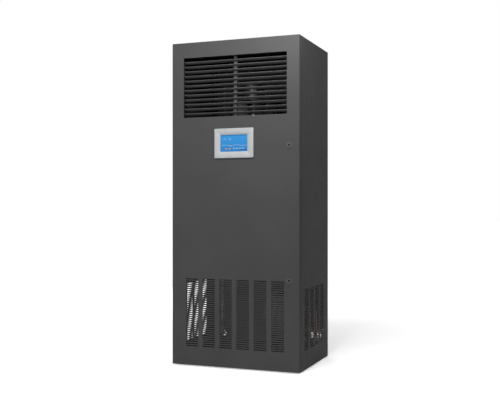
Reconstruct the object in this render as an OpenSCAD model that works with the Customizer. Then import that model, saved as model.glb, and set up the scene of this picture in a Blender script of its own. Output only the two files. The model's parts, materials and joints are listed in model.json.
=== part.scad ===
// Close-control cooling cabinet for an equipment row or a small computer room.
// Air enters through the slots low in the door and the side panels, passes a
// pleated filter and a slanted evaporator, and a plug fan throws it out through
// a grille of adjustable blades high in the door.
// X runs from the hinge side to the lock side, the door faces -Y, and Z is up.
// The origin is on the floor, at the middle of the cabinet.

/* [Cabinet] */
// Width over both side panels
cabinet_w = 750; // [740:10:800]
// Depth from the door's face to the heads of the rear screws
cabinet_d = 560; // [550:10:600]
// Height of the door
door_h = 1800; // [1780:10:1900]
// Height of the levelling feet below the base frame
foot_h = 6; // [6:1:20]
// Thickness of the door and panel sheet
sheet_t = 1.5; // [1.2:0.1:1.6]
// Thickness of the folded frame sections
frame_t = 2; // [1.5:0.5:2.5]

/* [Door] */
// Depth of the door tray
door_depth = 28; // [26:1:32]
// Gap between the door's back and the frame, filled by the seal
seal_gap = 5; // [5:0.5:6]
// Radius of the hinge pins
hinge_pin_r = 3; // [2.5:0.5:3.5]
// Distance of each lock from the middle of the door
lock_x = 318; // [314:1:320]
// Heights of the two locks above the floor
lock_heights = [495, 1221];

/* [Air slots] */
// Length of one slot
slot_len = 75; // [60:1:80]
// Height of one slot
slot_h = 5; // [4:0.5:6]
// Distance between slot columns
column_pitch = 101; // [95:1:102]
// Distance between slot rows
row_pitch = 12; // [11:0.5:13]
// Height of the lowest row of slots
first_row_z = 115; // [112:1:125]
// Number of slot rows in the door
door_rows = 32; // [20:1:32]
// Number of slot rows in each side panel
side_rows = 28; // [20:1:28]

/* [Supply grille] */
// Width of the opening in the door
grille_w = 608; // [560:4:608]
// Height of the opening in the door
grille_h = 334; // [334:1:340]
// Height of the bottom of the opening
grille_z = 1388; // [1385:1:1395]
// Number of adjustable blades
blade_count = 12; // [8:1:12]
// Distance between blades
blade_pitch = 26.2; // [24:0.2:26.2]
// Chord of one blade
blade_chord = 26; // [22:1:26]
// Tilt of the blades as delivered, rear edge down
blade_tilt = 20; // [10:1:20]

/* [Display] */
// Width of the display's bezel
bezel_w = 230; // [220:1:236]
// Height of the display's bezel
bezel_h = 163; // [155:1:170]
// How far the bezel stands out of the door
bezel_proud = 6; // [5:0.5:8]
// Height of the middle of the display
display_z = 1239; // [1225:1:1250]
// Size of the lit glass, across and up
screen_size = [156, 90];

/* [Fan] */
// Radius of the fan impeller
impeller_r = 155; // [140:1:160]
// Number of impeller blades
impeller_blades = 7; // [5:1:9]
// Height of the impeller
impeller_h = 128; // [110:1:130]

/* [Cooling] */
// Thickness of the evaporator
coil_t = 66; // [44:1:70]
// Width of the finned part of the evaporator
coil_w = 580; // [540:10:590]
// Length of the evaporator up its slope
coil_len = 560; // [500:10:560]
// Radius of the compressor's shell
compressor_r = 84; // [75:1:88]

/* [Hidden] */
$fn = 64;

// Running clearance of every pin in its bore, on the radius
run_gap = 0.05;

// Planes of the cabinet, front to back
y_face = -(cabinet_d + bezel_proud) / 2 + bezel_proud;
y_back = (cabinet_d + bezel_proud) / 2;
screw_head_t = 2;
y_rear_skin = y_back - screw_head_t;
door_back = y_face + door_depth;
frame_front = door_back + seal_gap;
frame_back = y_rear_skin - sheet_t;
y_mid = (y_face + y_back) / 2;

// Planes of the cabinet, side to side
side_x = cabinet_w / 2;
panel_fold = 12;
frame_x = side_x - panel_fold;

// Planes of the cabinet, bottom to top
base_h = 60;
base_top = foot_h + base_h;
door_z = foot_h + 1;
door_top = door_z + door_h;
top_skin_t = 2;
frame_top = door_top - top_skin_t;
rail_h = 40;
rail_z = frame_top - rail_h;

// Sections of the frame posts
post_lip = 28;
post_depth = 40;

// Hinge axis, inside the door tray
hinge_x = -side_x + 8;
hinge_y = y_face + 10;
bracket_t = 3;
pivot_recess = 5;
bushing_r = 5;

// Door folds
fold_r = 3;
door_flange = 30;
stiffener_x = 2 * column_pitch;
door_columns = [-2.5, -1.5, -0.5, 0.5, 1.5, 2.5];
side_columns = [-1.5, -0.5, 0.5, 1.5];

// Supply grille
frame_wall = 2.5;
grille_lip = 12;
grille_reveal = 0.5;
nose_recess = 10;
blade_y = y_face + nose_recess + blade_chord / 2 * cos(blade_tilt);
first_nose_drop = 22;
blade_top_z = grille_z + grille_h - first_nose_drop - blade_chord / 2 * sin(blade_tilt);
blade_pin_r = 2;
grille_back = y_face + 37;
mullion_w = 19;
mullion_front = y_face + 21;
blade_half_len = grille_w / 2 - 0.5;

// Opening in the door for the display
display_cut = [216, 149];

// Locks
lock_head_r = 15;
lock_body_r = 9;
lock_core_r = 6.5;
lock_end = frame_front + 2;
cam_reach = 28;

// Fan section
deck_z = 1345;
fan_y = y_mid + 32;
impeller_z = deck_z + 24;
nozzle_throat_r = 100;
eye_r = nozzle_throat_r + 6;
motor_r = 52;
motor_z = impeller_z + impeller_h + 6;
motor_h = 84;
arm_r = 186;

// Filter, coil and drain pan
filter_z = 512;
filter_t = 40;
filter_half_w = 325;
filter_front = frame_front + 14;
filter_d = 470;
channel_h = 50;
channel_in = 305;
coil_angle = 62;
coil_foot = [frame_back - 44, 628];
tube_r = 5;
tube_pitch = 50;
tube_count = floor(coil_len / tube_pitch);
tube_rows = [coil_t / 2 - 15, coil_t / 2 + 15];
casing_edge = 6;

// Y and Z of a point that lies t up the coil's slope and h in front of its rear face
function on_coil(t, h) = [coil_foot[0] - t * cos(coil_angle) - h * sin(coil_angle),
                          coil_foot[1] + t * sin(coil_angle) - h * cos(coil_angle)];

coil_top = on_coil(coil_len + 4, -casing_edge);
pan_z = filter_z - frame_t + channel_h;
pan_half_w = 325;
drain_y = frame_back - 26;
header_x = 338;
header_r = 9;
header_drop = 15;
header_foot = [for (v = on_coil(20, tube_rows[1])) round(v)];
liquid_header_x = 312;
liquid_header_r = 6;
liquid_tee_z = 700;
liquid_tee_y = round(on_coil((liquid_tee_z - on_coil(0, tube_rows[0])[1]) / sin(coil_angle),
                             tube_rows[0])[0]);
liquid_riser = [343, frame_back - 50];
valve_z = 600;

// Control box
box_d = 143;

// Compressor
compressor_at = [168, y_mid + 104];
compressor_z = foot_h + frame_t + 24;
compressor_h = 372;
mount_square = 190;

charcoal = [0.20, 0.20, 0.20];
dark_steel = [0.13, 0.13, 0.13];
galvanised = [0.62, 0.64, 0.66];
aluminium = [0.78, 0.79, 0.80];
copper = [0.72, 0.43, 0.28];
black = [0.05, 0.05, 0.055];
light_grey = [0.72, 0.73, 0.73];

// ---------------------------------------------------------------- helpers

// A box given by its lowest and highest corners
module span(lo, hi) {
    translate(lo) cube(hi - lo);
}

// A flat rectangular ring in the XZ plane, from y0 to y1
module picture_frame(inner, outer, y0, y1) {
    difference() {
        span([outer[0], y0, outer[1]], [outer[2], y1, outer[3]]);
        span([inner[0], y0 - 1, inner[1]], [inner[2], y1 + 1, inner[3]]);
    }
}

// A slot with round ends, lying along X, cut through a sheet in the XZ plane
module slot_xz(len, h, y0, y1) {
    r = h / 2;
    span([-len / 2 + r, y0, -r], [len / 2 - r, y1, r]);
    for (s = [-1, 1])
        translate([s * (len / 2 - r), y0, 0])
            rotate([-90, 0, 0]) cylinder(h = y1 - y0, r = r);
}

// A field of slots: columns across, rows up from the first row
module slot_field(columns, rows, y0, y1) {
    for (c = columns, i = [0 : rows - 1])
        translate([c * column_pitch, 0, first_row_z + i * row_pitch])
            slot_xz(slot_len, slot_h, y0, y1);
}

// A block with round corners seen from the front, from y0 to y1
module rounded_plate(w, h, r, y0, y1) {
    span([-w / 2 + r, y0, -h / 2], [w / 2 - r, y1, h / 2]);
    span([-w / 2, y0, -h / 2 + r], [w / 2, y1, h / 2 - r]);
    for (sx = [-1, 1], sz = [-1, 1])
        translate([sx * (w / 2 - r), y0, sz * (h / 2 - r)])
            rotate([-90, 0, 0]) cylinder(h = y1 - y0, r = r);
}

// A round bar along Y
module bar_y(r, y0, y1) {
    translate([0, y0, 0]) rotate([-90, 0, 0]) cylinder(h = y1 - y0, r = r);
}

// A tube that follows square corners between points, with a round bend at each
module tube(points, r, bend_r) {
    $fn = 24;
    last = len(points) - 1;
    for (i = [0 : last - 1]) {
        a = points[i];
        b = points[i + 1];
        dir = (b - a) / norm(b - a);
        start = i == 0 ? a : a + dir * bend_r;
        stop = i == last - 1 ? b : b - dir * bend_r;
        translate(start) point_along(dir) cylinder(h = norm(stop - start), r = r);
        if (i < last - 1) tube_bend(a, b, points[i + 2], r, bend_r);
    }
}

// The quarter bend of a tube at b, between a and c
module tube_bend(a, b, c, r, bend_r) {
    u = (b - a) / norm(b - a);
    v = (c - b) / norm(c - b);
    o = b - u * bend_r + v * bend_r;
    w = cross(-v, u);
    multmatrix([[-v[0], u[0], w[0], o[0]],
                [-v[1], u[1], w[1], o[1]],
                [-v[2], u[2], w[2], o[2]]])
        rotate_extrude(angle = 90) translate([bend_r, 0]) circle(r = r);
}

// Turns the Z axis to lie along an axis-parallel direction
module point_along(dir) {
    if (dir[0] != 0) rotate([0, dir[0] * 90, 0]) children();
    else if (dir[1] != 0) rotate([-dir[1] * 90, 0, 0]) children();
    else if (dir[2] < 0) rotate([180, 0, 0]) children();
    else children();
}

// ---------------------------------------------------------------- frame

// Four folded angles: the wide leg along the side, the lip across the front or back
module frame_posts() {
    color(dark_steel) difference() {
        for (sx = [0, 1], front = [true, false]) mirror([sx, 0, 0])
            translate([-frame_x, front ? frame_front : frame_back, base_top])
                mirror([0, front ? 0 : 1, 0]) {
                    cube([frame_t, post_depth, rail_z - base_top]);
                    cube([post_lip, frame_t, rail_z - base_top]);
                }
        // the right rear lip is notched round the pipe entry plate
        span([entry_x, frame_back - frame_t - 1, entry_z - entry_plate[1] / 2 - 1],
             [entry_x + entry_plate[0] / 2 + 1, frame_back + 1, entry_z + entry_plate[1] / 2 + 1]);
    }
}

// Where the floor bolts and the feet go through the base
anchor_x = 600;
anchor_y = 420;
anchor_r = 7;
foot_r = 20;
foot_at = [for (sx = [-1, 1], y = [frame_front + foot_r + 12, frame_back - foot_r - 4])
    [sx * (frame_x - foot_r - 4), y]];

module base_frame() {
    color(dark_steel) difference() {
        span([-frame_x, frame_front, foot_h], [frame_x, frame_back, base_top]);
        span([-frame_x + frame_t, frame_front + frame_t, foot_h + frame_t],
             [frame_x - frame_t, frame_back - frame_t, base_top - frame_t]);
        span([-frame_x + 42, frame_front + 42, base_top - frame_t - 1],
             [frame_x - 42, frame_back - 42, base_top + 1]);
        for (sx = [-1, 1], sy = [-1, 1])
            translate([sx * anchor_x / 2, y_mid + sy * anchor_y / 2, foot_h - 1])
                cylinder(h = frame_t + 2, r = anchor_r);
        for (p = foot_at) translate([p[0], p[1], foot_h - 1]) cylinder(h = frame_t + 2, r = 6);
    }
}

module levelling_feet() {
    pad_h = 3.5;
    color(black) for (p = foot_at) translate([p[0], p[1], 0]) {
        cylinder(h = pad_h, r = foot_r);
        translate([0, 0, pad_h]) cylinder(h = foot_h - pad_h, r = 9, $fn = 6);
        cylinder(h = foot_h + 24, r = 5);
        translate([0, 0, foot_h + frame_t]) cylinder(h = 7, r = 9, $fn = 6);
    }
}

module top_frame() {
    color(dark_steel) difference() {
        span([-frame_x, frame_front, rail_z], [frame_x, frame_back, frame_top]);
        span([-frame_x + frame_t, frame_front + frame_t, rail_z + frame_t],
             [frame_x - frame_t, frame_back - frame_t, frame_top + 1]);
        span([-frame_x + 30, frame_front + 42, rail_z - 1],
             [frame_x - 30, frame_back - 42, rail_z + frame_t + 1]);
    }
}

// Channels that hold the filter and carry the drain pan, and angles for the coil
module side_rails() {
    length = frame_back - frame_front - 2 * frame_t;
    wall = frame_x - frame_t;
    low = filter_z - frame_t;
    angle_from = box_lo[1] - frame_front + 12;
    color(galvanised) for (sx = [0, 1]) mirror([sx, 0, 0])
        translate([wall, frame_front + frame_t, 0]) {
            difference() {
                union() {
                    translate([-frame_t, 0, low]) cube([frame_t, length, channel_h]);
                    for (z = [low, low + channel_h - frame_t])
                        translate([channel_in - wall, 0, z])
                            cube([wall - channel_in, length, frame_t]);
                }
                translate([-wall, -frame_front - frame_t, low - 1]) {
                    translate([header_x, header_foot[0], 0]) cylinder(h = channel_h + 2, r = 12);
                    translate(liquid_riser) cylinder(h = channel_h + 2, r = 8);
                }
            }
            translate([-frame_t, angle_from, coil_top[1] - 30])
                cube([frame_t, length - angle_from, 30]);
            translate([-30, angle_from, coil_top[1] - frame_t])
                cube([30, length - angle_from, frame_t]);
        }
}

// ---------------------------------------------------------------- panels

module side_panel_right() {
    color(charcoal) difference() {
        span([frame_x, frame_front, foot_h - 1], [side_x, frame_back, frame_top]);
        span([frame_x - 1, frame_front + sheet_t, foot_h - 1 + sheet_t],
             [side_x - sheet_t, frame_back - sheet_t, frame_top - sheet_t]);
        translate([side_x, y_mid, 0]) rotate([0, 0, 90])
            slot_field(side_columns, side_rows, -1, sheet_t + 1);
    }
}

module side_panel_left() { mirror([1, 0, 0]) side_panel_right(); }

entry_x = 272;
entry_z = 124;
entry_hole_r = 17;
entry_spread = 46;
entry_plate = [160, 74];
gas_x = entry_x;
liquid_x = entry_x + entry_spread;
gland_x = entry_x - entry_spread;
drain_at = [-292, 104];
drain_r = 10;
gland_r = 16;
gland_bore_r = 9;

module rear_panel() {
    color(charcoal) difference() {
        span([-side_x, frame_back, foot_h - 1], [side_x, y_rear_skin, frame_top]);
        for (x = [gas_x, liquid_x])
            translate([x, 0, entry_z]) bar_y(entry_hole_r, frame_back - 1, y_rear_skin + 1);
        translate([gland_x, 0, entry_z]) bar_y(gland_r + 4, frame_back - 1, y_rear_skin + 1);
        translate([drain_at[0], 0, drain_at[1]]) bar_y(drain_r + 4, frame_back - 1, y_rear_skin + 1);
        for (p = rear_screw_at)
            translate([p[0], 0, p[1]]) bar_y(2.2, frame_back - 1, y_rear_skin + 1);
    }
}

module pipe_entry_plate() {
    color(galvanised) difference() {
        translate([entry_x, 0, entry_z])
            rounded_plate(entry_plate[0], entry_plate[1], 5, frame_back - 1.5, frame_back);
        for (x = [gas_x, liquid_x])
            translate([x, 0, entry_z]) bar_y(entry_hole_r, frame_back - 3, frame_back + 1);
        translate([gland_x, 0, entry_z]) bar_y(gland_r, frame_back - 3, frame_back + 1);
    }
}

// Cable gland: a threaded body with its nut inside and its cap outside
module cable_gland() {
    y0 = frame_back - 1.5;
    color(black) translate([gland_x, 0, entry_z]) difference() {
        union() {
            bar_y(gland_r, y0 - 12, y_back - 1);
            translate([0, y0 - 6, 0]) rotate([-90, 0, 0]) cylinder(h = 6, r = 21, $fn = 6);
            bar_y(gland_r + 3, frame_back, y_back - 1);
        }
        bar_y(gland_bore_r, y0 - 13, y_back);
    }
}

module top_panel() {
    color(charcoal)
        span([-side_x, frame_front, frame_top], [side_x, y_rear_skin, frame_top + top_skin_t]);
}

rear_screw_at = concat(
    [for (sx = [-1, 1], i = [0 : 5]) [sx * (side_x - 22), base_top + 14 + i * 330]],
    [for (x = [-180, 0, 180], z = [base_top - 30, rail_z + 22]) [x, z]]);

module panel_screws() {
    color(black) {
        for (p = rear_screw_at) translate([p[0], 0, p[1]]) {
            bar_y(4.5, y_rear_skin, y_back);
            bar_y(2.2, frame_back, y_rear_skin);
        }
    }
}

// ---------------------------------------------------------------- door

// Seen from above: the door's outline, with the front corners folded round
module door_outline() {
    translate([-side_x, y_face + fold_r]) square([cabinet_w, door_depth - fold_r]);
    translate([-side_x + fold_r, y_face]) square([cabinet_w - 2 * fold_r, door_depth]);
    for (s = [-1, 1]) translate([s * (side_x - fold_r), y_face + fold_r]) circle(r = fold_r);
}

module door_shell() {
    color(charcoal) {
        difference() {
            translate([0, 0, door_z]) linear_extrude(door_h) door_outline();
            span([-side_x + sheet_t, y_face + sheet_t, door_z + sheet_t],
                 [side_x - sheet_t, door_back - sheet_t, door_top - sheet_t]);
            span([-side_x + door_flange, door_back - sheet_t - 1, door_z + door_flange],
                 [side_x - door_flange, door_back + 1, door_top - door_flange]);
            span([-grille_w / 2, y_face - 1, grille_z],
                 [grille_w / 2, y_face + sheet_t + 1, grille_z + grille_h]);
            slot_field(door_columns, door_rows, y_face - 1, y_face + sheet_t + 1);
            translate([0, 0, display_z])
                span([-display_cut[0] / 2, y_face - 1, -display_cut[1] / 2],
                     [display_cut[0] / 2, y_face + 3, display_cut[1] / 2]);
            for (z = lock_heights)
                translate([lock_x, 0, z]) bar_y(lock_body_r + 0.2, y_face - 1, y_face + 3);
            at_pivots() span([-side_x - 1, y_face + sheet_t, -1],
                             [hinge_x + 20, door_back + 1, pivot_recess]);
        }
        at_pivots() difference() {
            span([-side_x + sheet_t, y_face + sheet_t, pivot_recess],
                 [hinge_x + 20, door_back - sheet_t, pivot_recess + 2]);
            translate([hinge_x, hinge_y, 0]) cylinder(h = 20, r = bushing_r);
        }
    }
}

// Places a child at the foot of the hinge axis and, mirrored, at its head
module at_pivots() {
    translate([0, 0, door_z]) children();
    translate([0, 0, door_top]) mirror([0, 0, 1]) children();
}

module door_gasket() {
    edge = 16;
    color(black) picture_frame(
        [-frame_x + 1 + edge, door_z + 28, frame_x - 1 - edge, door_top - 28],
        [-frame_x + 1, door_z + 12, frame_x - 1, door_top - 12],
        door_back, frame_front - 0.3);
}

// A pressed hat section that stiffens the door from behind
module door_stiffeners() {
    y0 = y_face + sheet_t;
    color(charcoal) for (s = [-1, 1]) translate([s * stiffener_x, 0, 52])
        linear_extrude(grille_z - 52 - 20)
            polygon([[-12, y0], [-7, y0], [-4, y0 + 16], [4, y0 + 16], [7, y0], [12, y0],
                     [12, y0 + 1.5], [8.2, y0 + 1.5], [5.2, y0 + 17.5], [-5.2, y0 + 17.5],
                     [-8.2, y0 + 1.5], [-12, y0 + 1.5]]);
}

// Flanged bushings in the door's pivot plates, between the plate and the bracket
module hinge_bushings() {
    color(light_grey) at_pivots() translate([hinge_x, hinge_y, 0]) difference() {
        union() {
            translate([0, 0, pivot_recess]) cylinder(h = 6, r = bushing_r);
            translate([0, 0, bracket_t + 0.5])
                cylinder(h = pivot_recess - bracket_t - 0.5, r = bushing_r + 1.4);
            translate([0, 0, pivot_recess + 2]) cylinder(h = 1.5, r = bushing_r + 1.4);
        }
        cylinder(h = 20, r = hinge_pin_r + run_gap);
    }
}

// Folded brackets in the gap behind the door, each with its pin: one low, one high
module hinge_brackets() {
    arm_w = 13;
    flange_w = 34;
    color(galvanised) at_pivots() difference() {
        union() {
            span([hinge_x - 1, hinge_y, 0], [hinge_x + arm_w, frame_front, bracket_t]);
            span([-frame_x, frame_front - 2, 0], [-frame_x + flange_w, frame_front, 10]);
            span([hinge_x + arm_w - 1, frame_front - 2 - 3, 0],
                 [-frame_x + flange_w, frame_front, bracket_t]);
            translate([hinge_x, hinge_y, 0]) cylinder(h = bracket_t, r = 5.5);
            translate([hinge_x, hinge_y, 0]) cylinder(h = pivot_recess + 6, r = hinge_pin_r);
        }
        for (x = [10, 24]) translate([-frame_x + x, 0, 6]) bar_y(1.6, frame_front - 3, frame_front + 1);
    }
}

// ---------------------------------------------------------------- grille

grille_top = grille_z + grille_h;

function blade_z(i) = blade_top_z - (i - 1) * blade_pitch;

module grille_frame() {
    half = grille_w / 2 + grille_reveal;
    lo = grille_z - grille_reveal;
    hi = grille_top + grille_reveal;
    y0 = y_face + sheet_t;
    color(black) difference() {
        union() {
            picture_frame([-half, lo, half, hi],
                          [-half - grille_lip, lo - grille_lip, half + grille_lip, hi + grille_lip],
                          y0, y0 + 2);
            picture_frame([-half, lo, half, hi],
                          [-half - frame_wall, lo - frame_wall, half + frame_wall, hi + frame_wall],
                          y0, grille_back);
        }
        for (i = [1 : blade_count]) translate([-half - 5, blade_y, blade_z(i)])
            rotate([0, 90, 0]) cylinder(h = 2 * half + 10, r = blade_pin_r + run_gap);
    }
}

// Section of a blade: a round nose, a thin web, a bead and the boss for the pin
module blade_section() {
    half = blade_chord / 2;
    translate([-half + 2, 0]) circle(r = 2);
    translate([half - 1.5, 0]) circle(r = 1.5);
    translate([-half + 2, -0.7]) square([blade_chord - 3.5, 1.4]);
    circle(r = 2.8);
}

module blade(i) {
    color(charcoal) translate([0, blade_y, blade_z(i)]) {
        rotate([0, 90, 0]) cylinder(h = grille_w + 5, r = blade_pin_r, center = true);
        translate([-blade_half_len, 0, 0]) rotate([-blade_tilt, 0, 0]) rotate([90, 0, 90])
            linear_extrude(2 * blade_half_len) blade_section();
    }
}

// Comb behind the blade noses, which keeps the long blades from sagging
module grille_mullion() {
    y_spine = grille_back + 1;
    color(charcoal) difference() {
        span([-mullion_w / 2, mullion_front, grille_z - grille_reveal],
             [mullion_w / 2, y_spine + 3, grille_top + grille_reveal]);
        for (i = [1 : blade_count]) translate([-mullion_w, 0, blade_z(i)]) rotate([90, 0, 90])
            linear_extrude(2 * mullion_w)
                polygon([[mullion_front - 1, 4.5], [blade_y, 4.5], [y_spine, 7],
                         [y_spine, -13.4], [blade_y + 1, -5.6], [mullion_front - 1, -4.5]]);
    }
}

// ---------------------------------------------------------------- display

module display_bezel() {
    glass = screen_size + [2, 2];
    color(light_grey) translate([0, 0, display_z]) difference() {
        union() {
            rounded_plate(bezel_w, bezel_h, 5, y_face - bezel_proud + 2, y_face);
            rounded_plate(bezel_w - 6, bezel_h - 6, 4, y_face - bezel_proud + 0.8, y_face);
            rounded_plate(bezel_w - 30, bezel_h - 30, 3, y_face - bezel_proud, y_face);
        }
        span([-glass[0] / 2, y_face - 9, -glass[1] / 2], [glass[0] / 2, y_face + 1, glass[1] / 2]);
        rounded_plate(glass[0] + 8, glass[1] + 8, 2, y_face - 9, y_face - bezel_proud + 1.2);
    }
}

module display_screen() {
    color([0.10, 0.45, 0.80]) translate([0, 0, display_z])
        span([-screen_size[0] / 2 - 1, y_face - 3.4, -screen_size[1] / 2 - 1],
             [screen_size[0] / 2 + 1, y_face - 1.6, screen_size[1] / 2 + 1]);
}

module display_housing() {
    color(black) translate([0, 0, display_z]) {
        rounded_plate(display_cut[0] - 2, display_cut[1] - 2, 4, y_face, y_face + 20);
        rounded_plate(180, 116, 6, y_face + 20, y_face + 27);
        for (x = [-60, 0, 60]) span([x - 14, y_face + 4, -79], [x + 14, y_face + 18, -73]);
    }
}

// ---------------------------------------------------------------- locks

module lock_housings() {
    color(black) for (z = lock_heights) translate([lock_x, 0, z]) difference() {
        union() {
            bar_y(lock_head_r, y_face - 2.2, y_face);
            bar_y(lock_head_r - 2.2, y_face - 3.4, y_face);
            bar_y(lock_body_r, y_face, lock_end);
            translate([0, y_face + sheet_t, 0]) rotate([-90, 0, 0])
                cylinder(h = 5, r = 13, $fn = 6);
        }
        bar_y(lock_core_r + run_gap, y_face - 5, lock_end + 1);
    }
}

// Core with a key slot, and the cam that swings behind the post's lip
module lock_core(z) {
    cam_y = lock_end + 0.6;
    color(galvanised) translate([lock_x, 0, z]) difference() {
        union() {
            bar_y(lock_core_r, y_face - 2.8, cam_y + 6);
            bar_y(9, cam_y, cam_y + 3);
            span([-8, cam_y, -cam_reach], [8, cam_y + 3, 0]);
            translate([0, cam_y + 3, 0]) rotate([-90, 0, 0]) cylinder(h = 4, r = 8, $fn = 6);
        }
        span([-1, y_face - 4, -4.2], [1, y_face + 4, 4.2]);
    }
}

module lock_core_upper() { lock_core(lock_heights[1]); }
module lock_core_lower() { lock_core(lock_heights[0]); }

// ---------------------------------------------------------------- fan

module fan_deck() {
    deck_x = frame_x - frame_t;
    y0 = frame_front + frame_t;
    y1 = frame_back - frame_t;
    skirt = 24;
    color(galvanised) difference() {
        span([-deck_x, y0, deck_z - skirt], [deck_x, y1, deck_z]);
        span([-deck_x + 2, y0 + 2, deck_z - skirt - 1], [deck_x - 2, y1 - 2, deck_z - 2]);
        translate([0, fan_y, deck_z - 30]) cylinder(h = 40, r = nozzle_throat_r + 22);
    }
}

// Bell mouth: a quarter round that leads the air into the impeller's eye
module fan_inlet_nozzle() {
    roll = 20;
    color(galvanised) translate([0, fan_y, deck_z]) rotate_extrude() {
        translate([nozzle_throat_r + roll, 0]) square([34, 1.5]);
        intersection() {
            translate([nozzle_throat_r + roll, roll]) difference() {
                circle(r = roll);
                circle(r = roll - 1.5);
            }
            translate([nozzle_throat_r - 1, 0]) square([roll + 1, roll]);
        }
        translate([nozzle_throat_r, roll]) square([1.5, 12]);
    }
}

// Backward-curved blade: a stretch of a thin ring, cut to the channel between
// the shroud and the back plate
module impeller_blade() {
    ring_r = 100;
    inner_r = eye_r + 2.5;
    outer_r = impeller_r - 4;
    intersection() {
        linear_extrude(impeller_h) intersection() {
            translate([70, 0]) difference() {
                circle(r = ring_r);
                circle(r = ring_r - 2.5);
            }
            difference() {
                circle(r = outer_r);
                circle(r = inner_r);
            }
            translate([0, 5]) square(impeller_r);
        }
        rotate_extrude() polygon([[eye_r + 1, 9], [impeller_r - 3, 30.2],
                                  [impeller_r - 3, impeller_h - 1], [eye_r + 1, impeller_h - 1]]);
    }
}

// Plug fan wheel: conical shroud with its eye below, blades, and back plate with hub above
module fan_impeller() {
    color(aluminium) translate([0, fan_y, impeller_z]) {
        rotate_extrude() polygon([[eye_r, 0], [eye_r + 2, 0], [eye_r + 2, 8],
                                  [impeller_r, 30], [impeller_r, 32], [eye_r, 9.3]]);
        for (i = [0 : impeller_blades - 1])
            rotate([0, 0, i * 360 / impeller_blades]) impeller_blade();
        difference() {
            union() {
                translate([0, 0, impeller_h - 2.5]) cylinder(h = 2.5, r = impeller_r);
                translate([0, 0, impeller_h - 34]) cylinder(h = 32, r1 = 20, r2 = 62);
            }
            translate([0, 0, impeller_h - 40]) cylinder(h = 44, r = 8 + run_gap);
        }
    }
}

module fan_motor() {
    color(black) translate([0, fan_y, motor_z]) {
        difference() {
            cylinder(h = motor_h - 12, r = motor_r);
            for (a = [0 : 15 : 345]) rotate([0, 0, a])
                translate([motor_r - 4, -1.5, 10]) cube([8, 3, motor_h - 30]);
        }
        translate([0, 0, motor_h - 12]) cylinder(h = 12, r = motor_r + 8);
        translate([0, 0, -34]) cylinder(h = 34, r = 8);
    }
}

// Plate over the motor on four legs that stand on the deck around the impeller
module fan_bracket() {
    plate_z = motor_z + motor_h;
    color(galvanised) translate([0, fan_y, 0]) {
        difference() {
            union() {
                translate([0, 0, plate_z]) cylinder(h = 3, r = motor_r + 22);
                for (a = [45 : 90 : 315]) rotate([0, 0, a]) {
                    span([motor_r + 4, -12, plate_z], [arm_r + 3, 12, plate_z + 3]);
                    span([arm_r, -12, deck_z], [arm_r + 3, 12, plate_z + 3]);
                    span([arm_r, -12, deck_z], [arm_r + 26, 12, deck_z + 3]);
                }
            }
            for (a = [0 : 90 : 270]) rotate([0, 0, a])
                translate([motor_r, 0, plate_z - 1]) cylinder(h = 5, r = 3);
        }
    }
}

// ---------------------------------------------------------------- filter and coil

module filter_frame() {
    lo = [-filter_half_w, filter_front, filter_z];
    hi = [filter_half_w, filter_front + filter_d, filter_z + filter_t];
    color(light_grey) difference() {
        span(lo, hi);
        span(lo + [20, 20, -1], hi + [-20, -20, 1]);
        span(lo + [2, 2, 2], hi + [-2, -2, -2]);
    }
}

// Pleated medium: a zigzag sheet that fills the frame
module filter_media() {
    pleats = 44;
    step = (filter_d - 8) / pleats;
    drop = filter_t - 8;
    upper = [for (i = [0 : 2 * pleats]) [i * step / 2, (i % 2) * drop + 1.2]];
    lower = [for (i = [2 * pleats : -1 : 0]) [i * step / 2, (i % 2) * drop]];
    color("white")
        translate([-filter_half_w + 3, filter_front + 4, filter_z + 3])
            rotate([90, 0, 90])
                linear_extrude(2 * filter_half_w - 6) polygon(concat(upper, lower));
}

// Moves a child from the coil's own plane to its slope across the cabinet
module on_slope() {
    translate([0, coil_foot[0], coil_foot[1]]) rotate([180 - coil_angle, 0, 0]) children();
}

// Finned block: a comb of thin plates on a solid core
module coil_fins() {
    pitch = 10;
    groove = 7;
    count = floor(coil_w / pitch);
    color(aluminium) on_slope() difference() {
        span([-coil_w / 2, 0, 0], [coil_w / 2, coil_len, coil_t]);
        for (i = [0 : count - 1], z = [-1, coil_t - 6])
            translate([-coil_w / 2 + 1.5 + i * pitch, -1, z]) cube([groove, coil_len + 2, 7]);
    }
}

// Sheet casing: a flanged plate at each end of the block and a baffle over its top
module coil_casing() {
    t = 1.5;
    wall = frame_x - frame_t;
    color(galvanised) {
        on_slope() for (s = [0, 1]) mirror([s, 0, 0]) difference() {
            union() {
                span([coil_w / 2, -4, -casing_edge],
                     [coil_w / 2 + t, coil_len + 4, coil_t + casing_edge]);
                span([coil_w / 2, -4, -casing_edge], [wall - 30, coil_len + 4, t - casing_edge]);
            }
            for (i = [0 : tube_count - 1], row = tube_rows)
                translate([coil_w / 2 - 1, tube_y(i), row])
                    rotate([0, 90, 0]) cylinder(h = 4, r = tube_r + 0.3);
        }
        span([-wall, frame_front + box_d, coil_top[1]], [wall, coil_top[0] + 8, coil_top[1] + t]);
    }
}

function tube_y(i) = 30 + i * tube_pitch;

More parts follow.
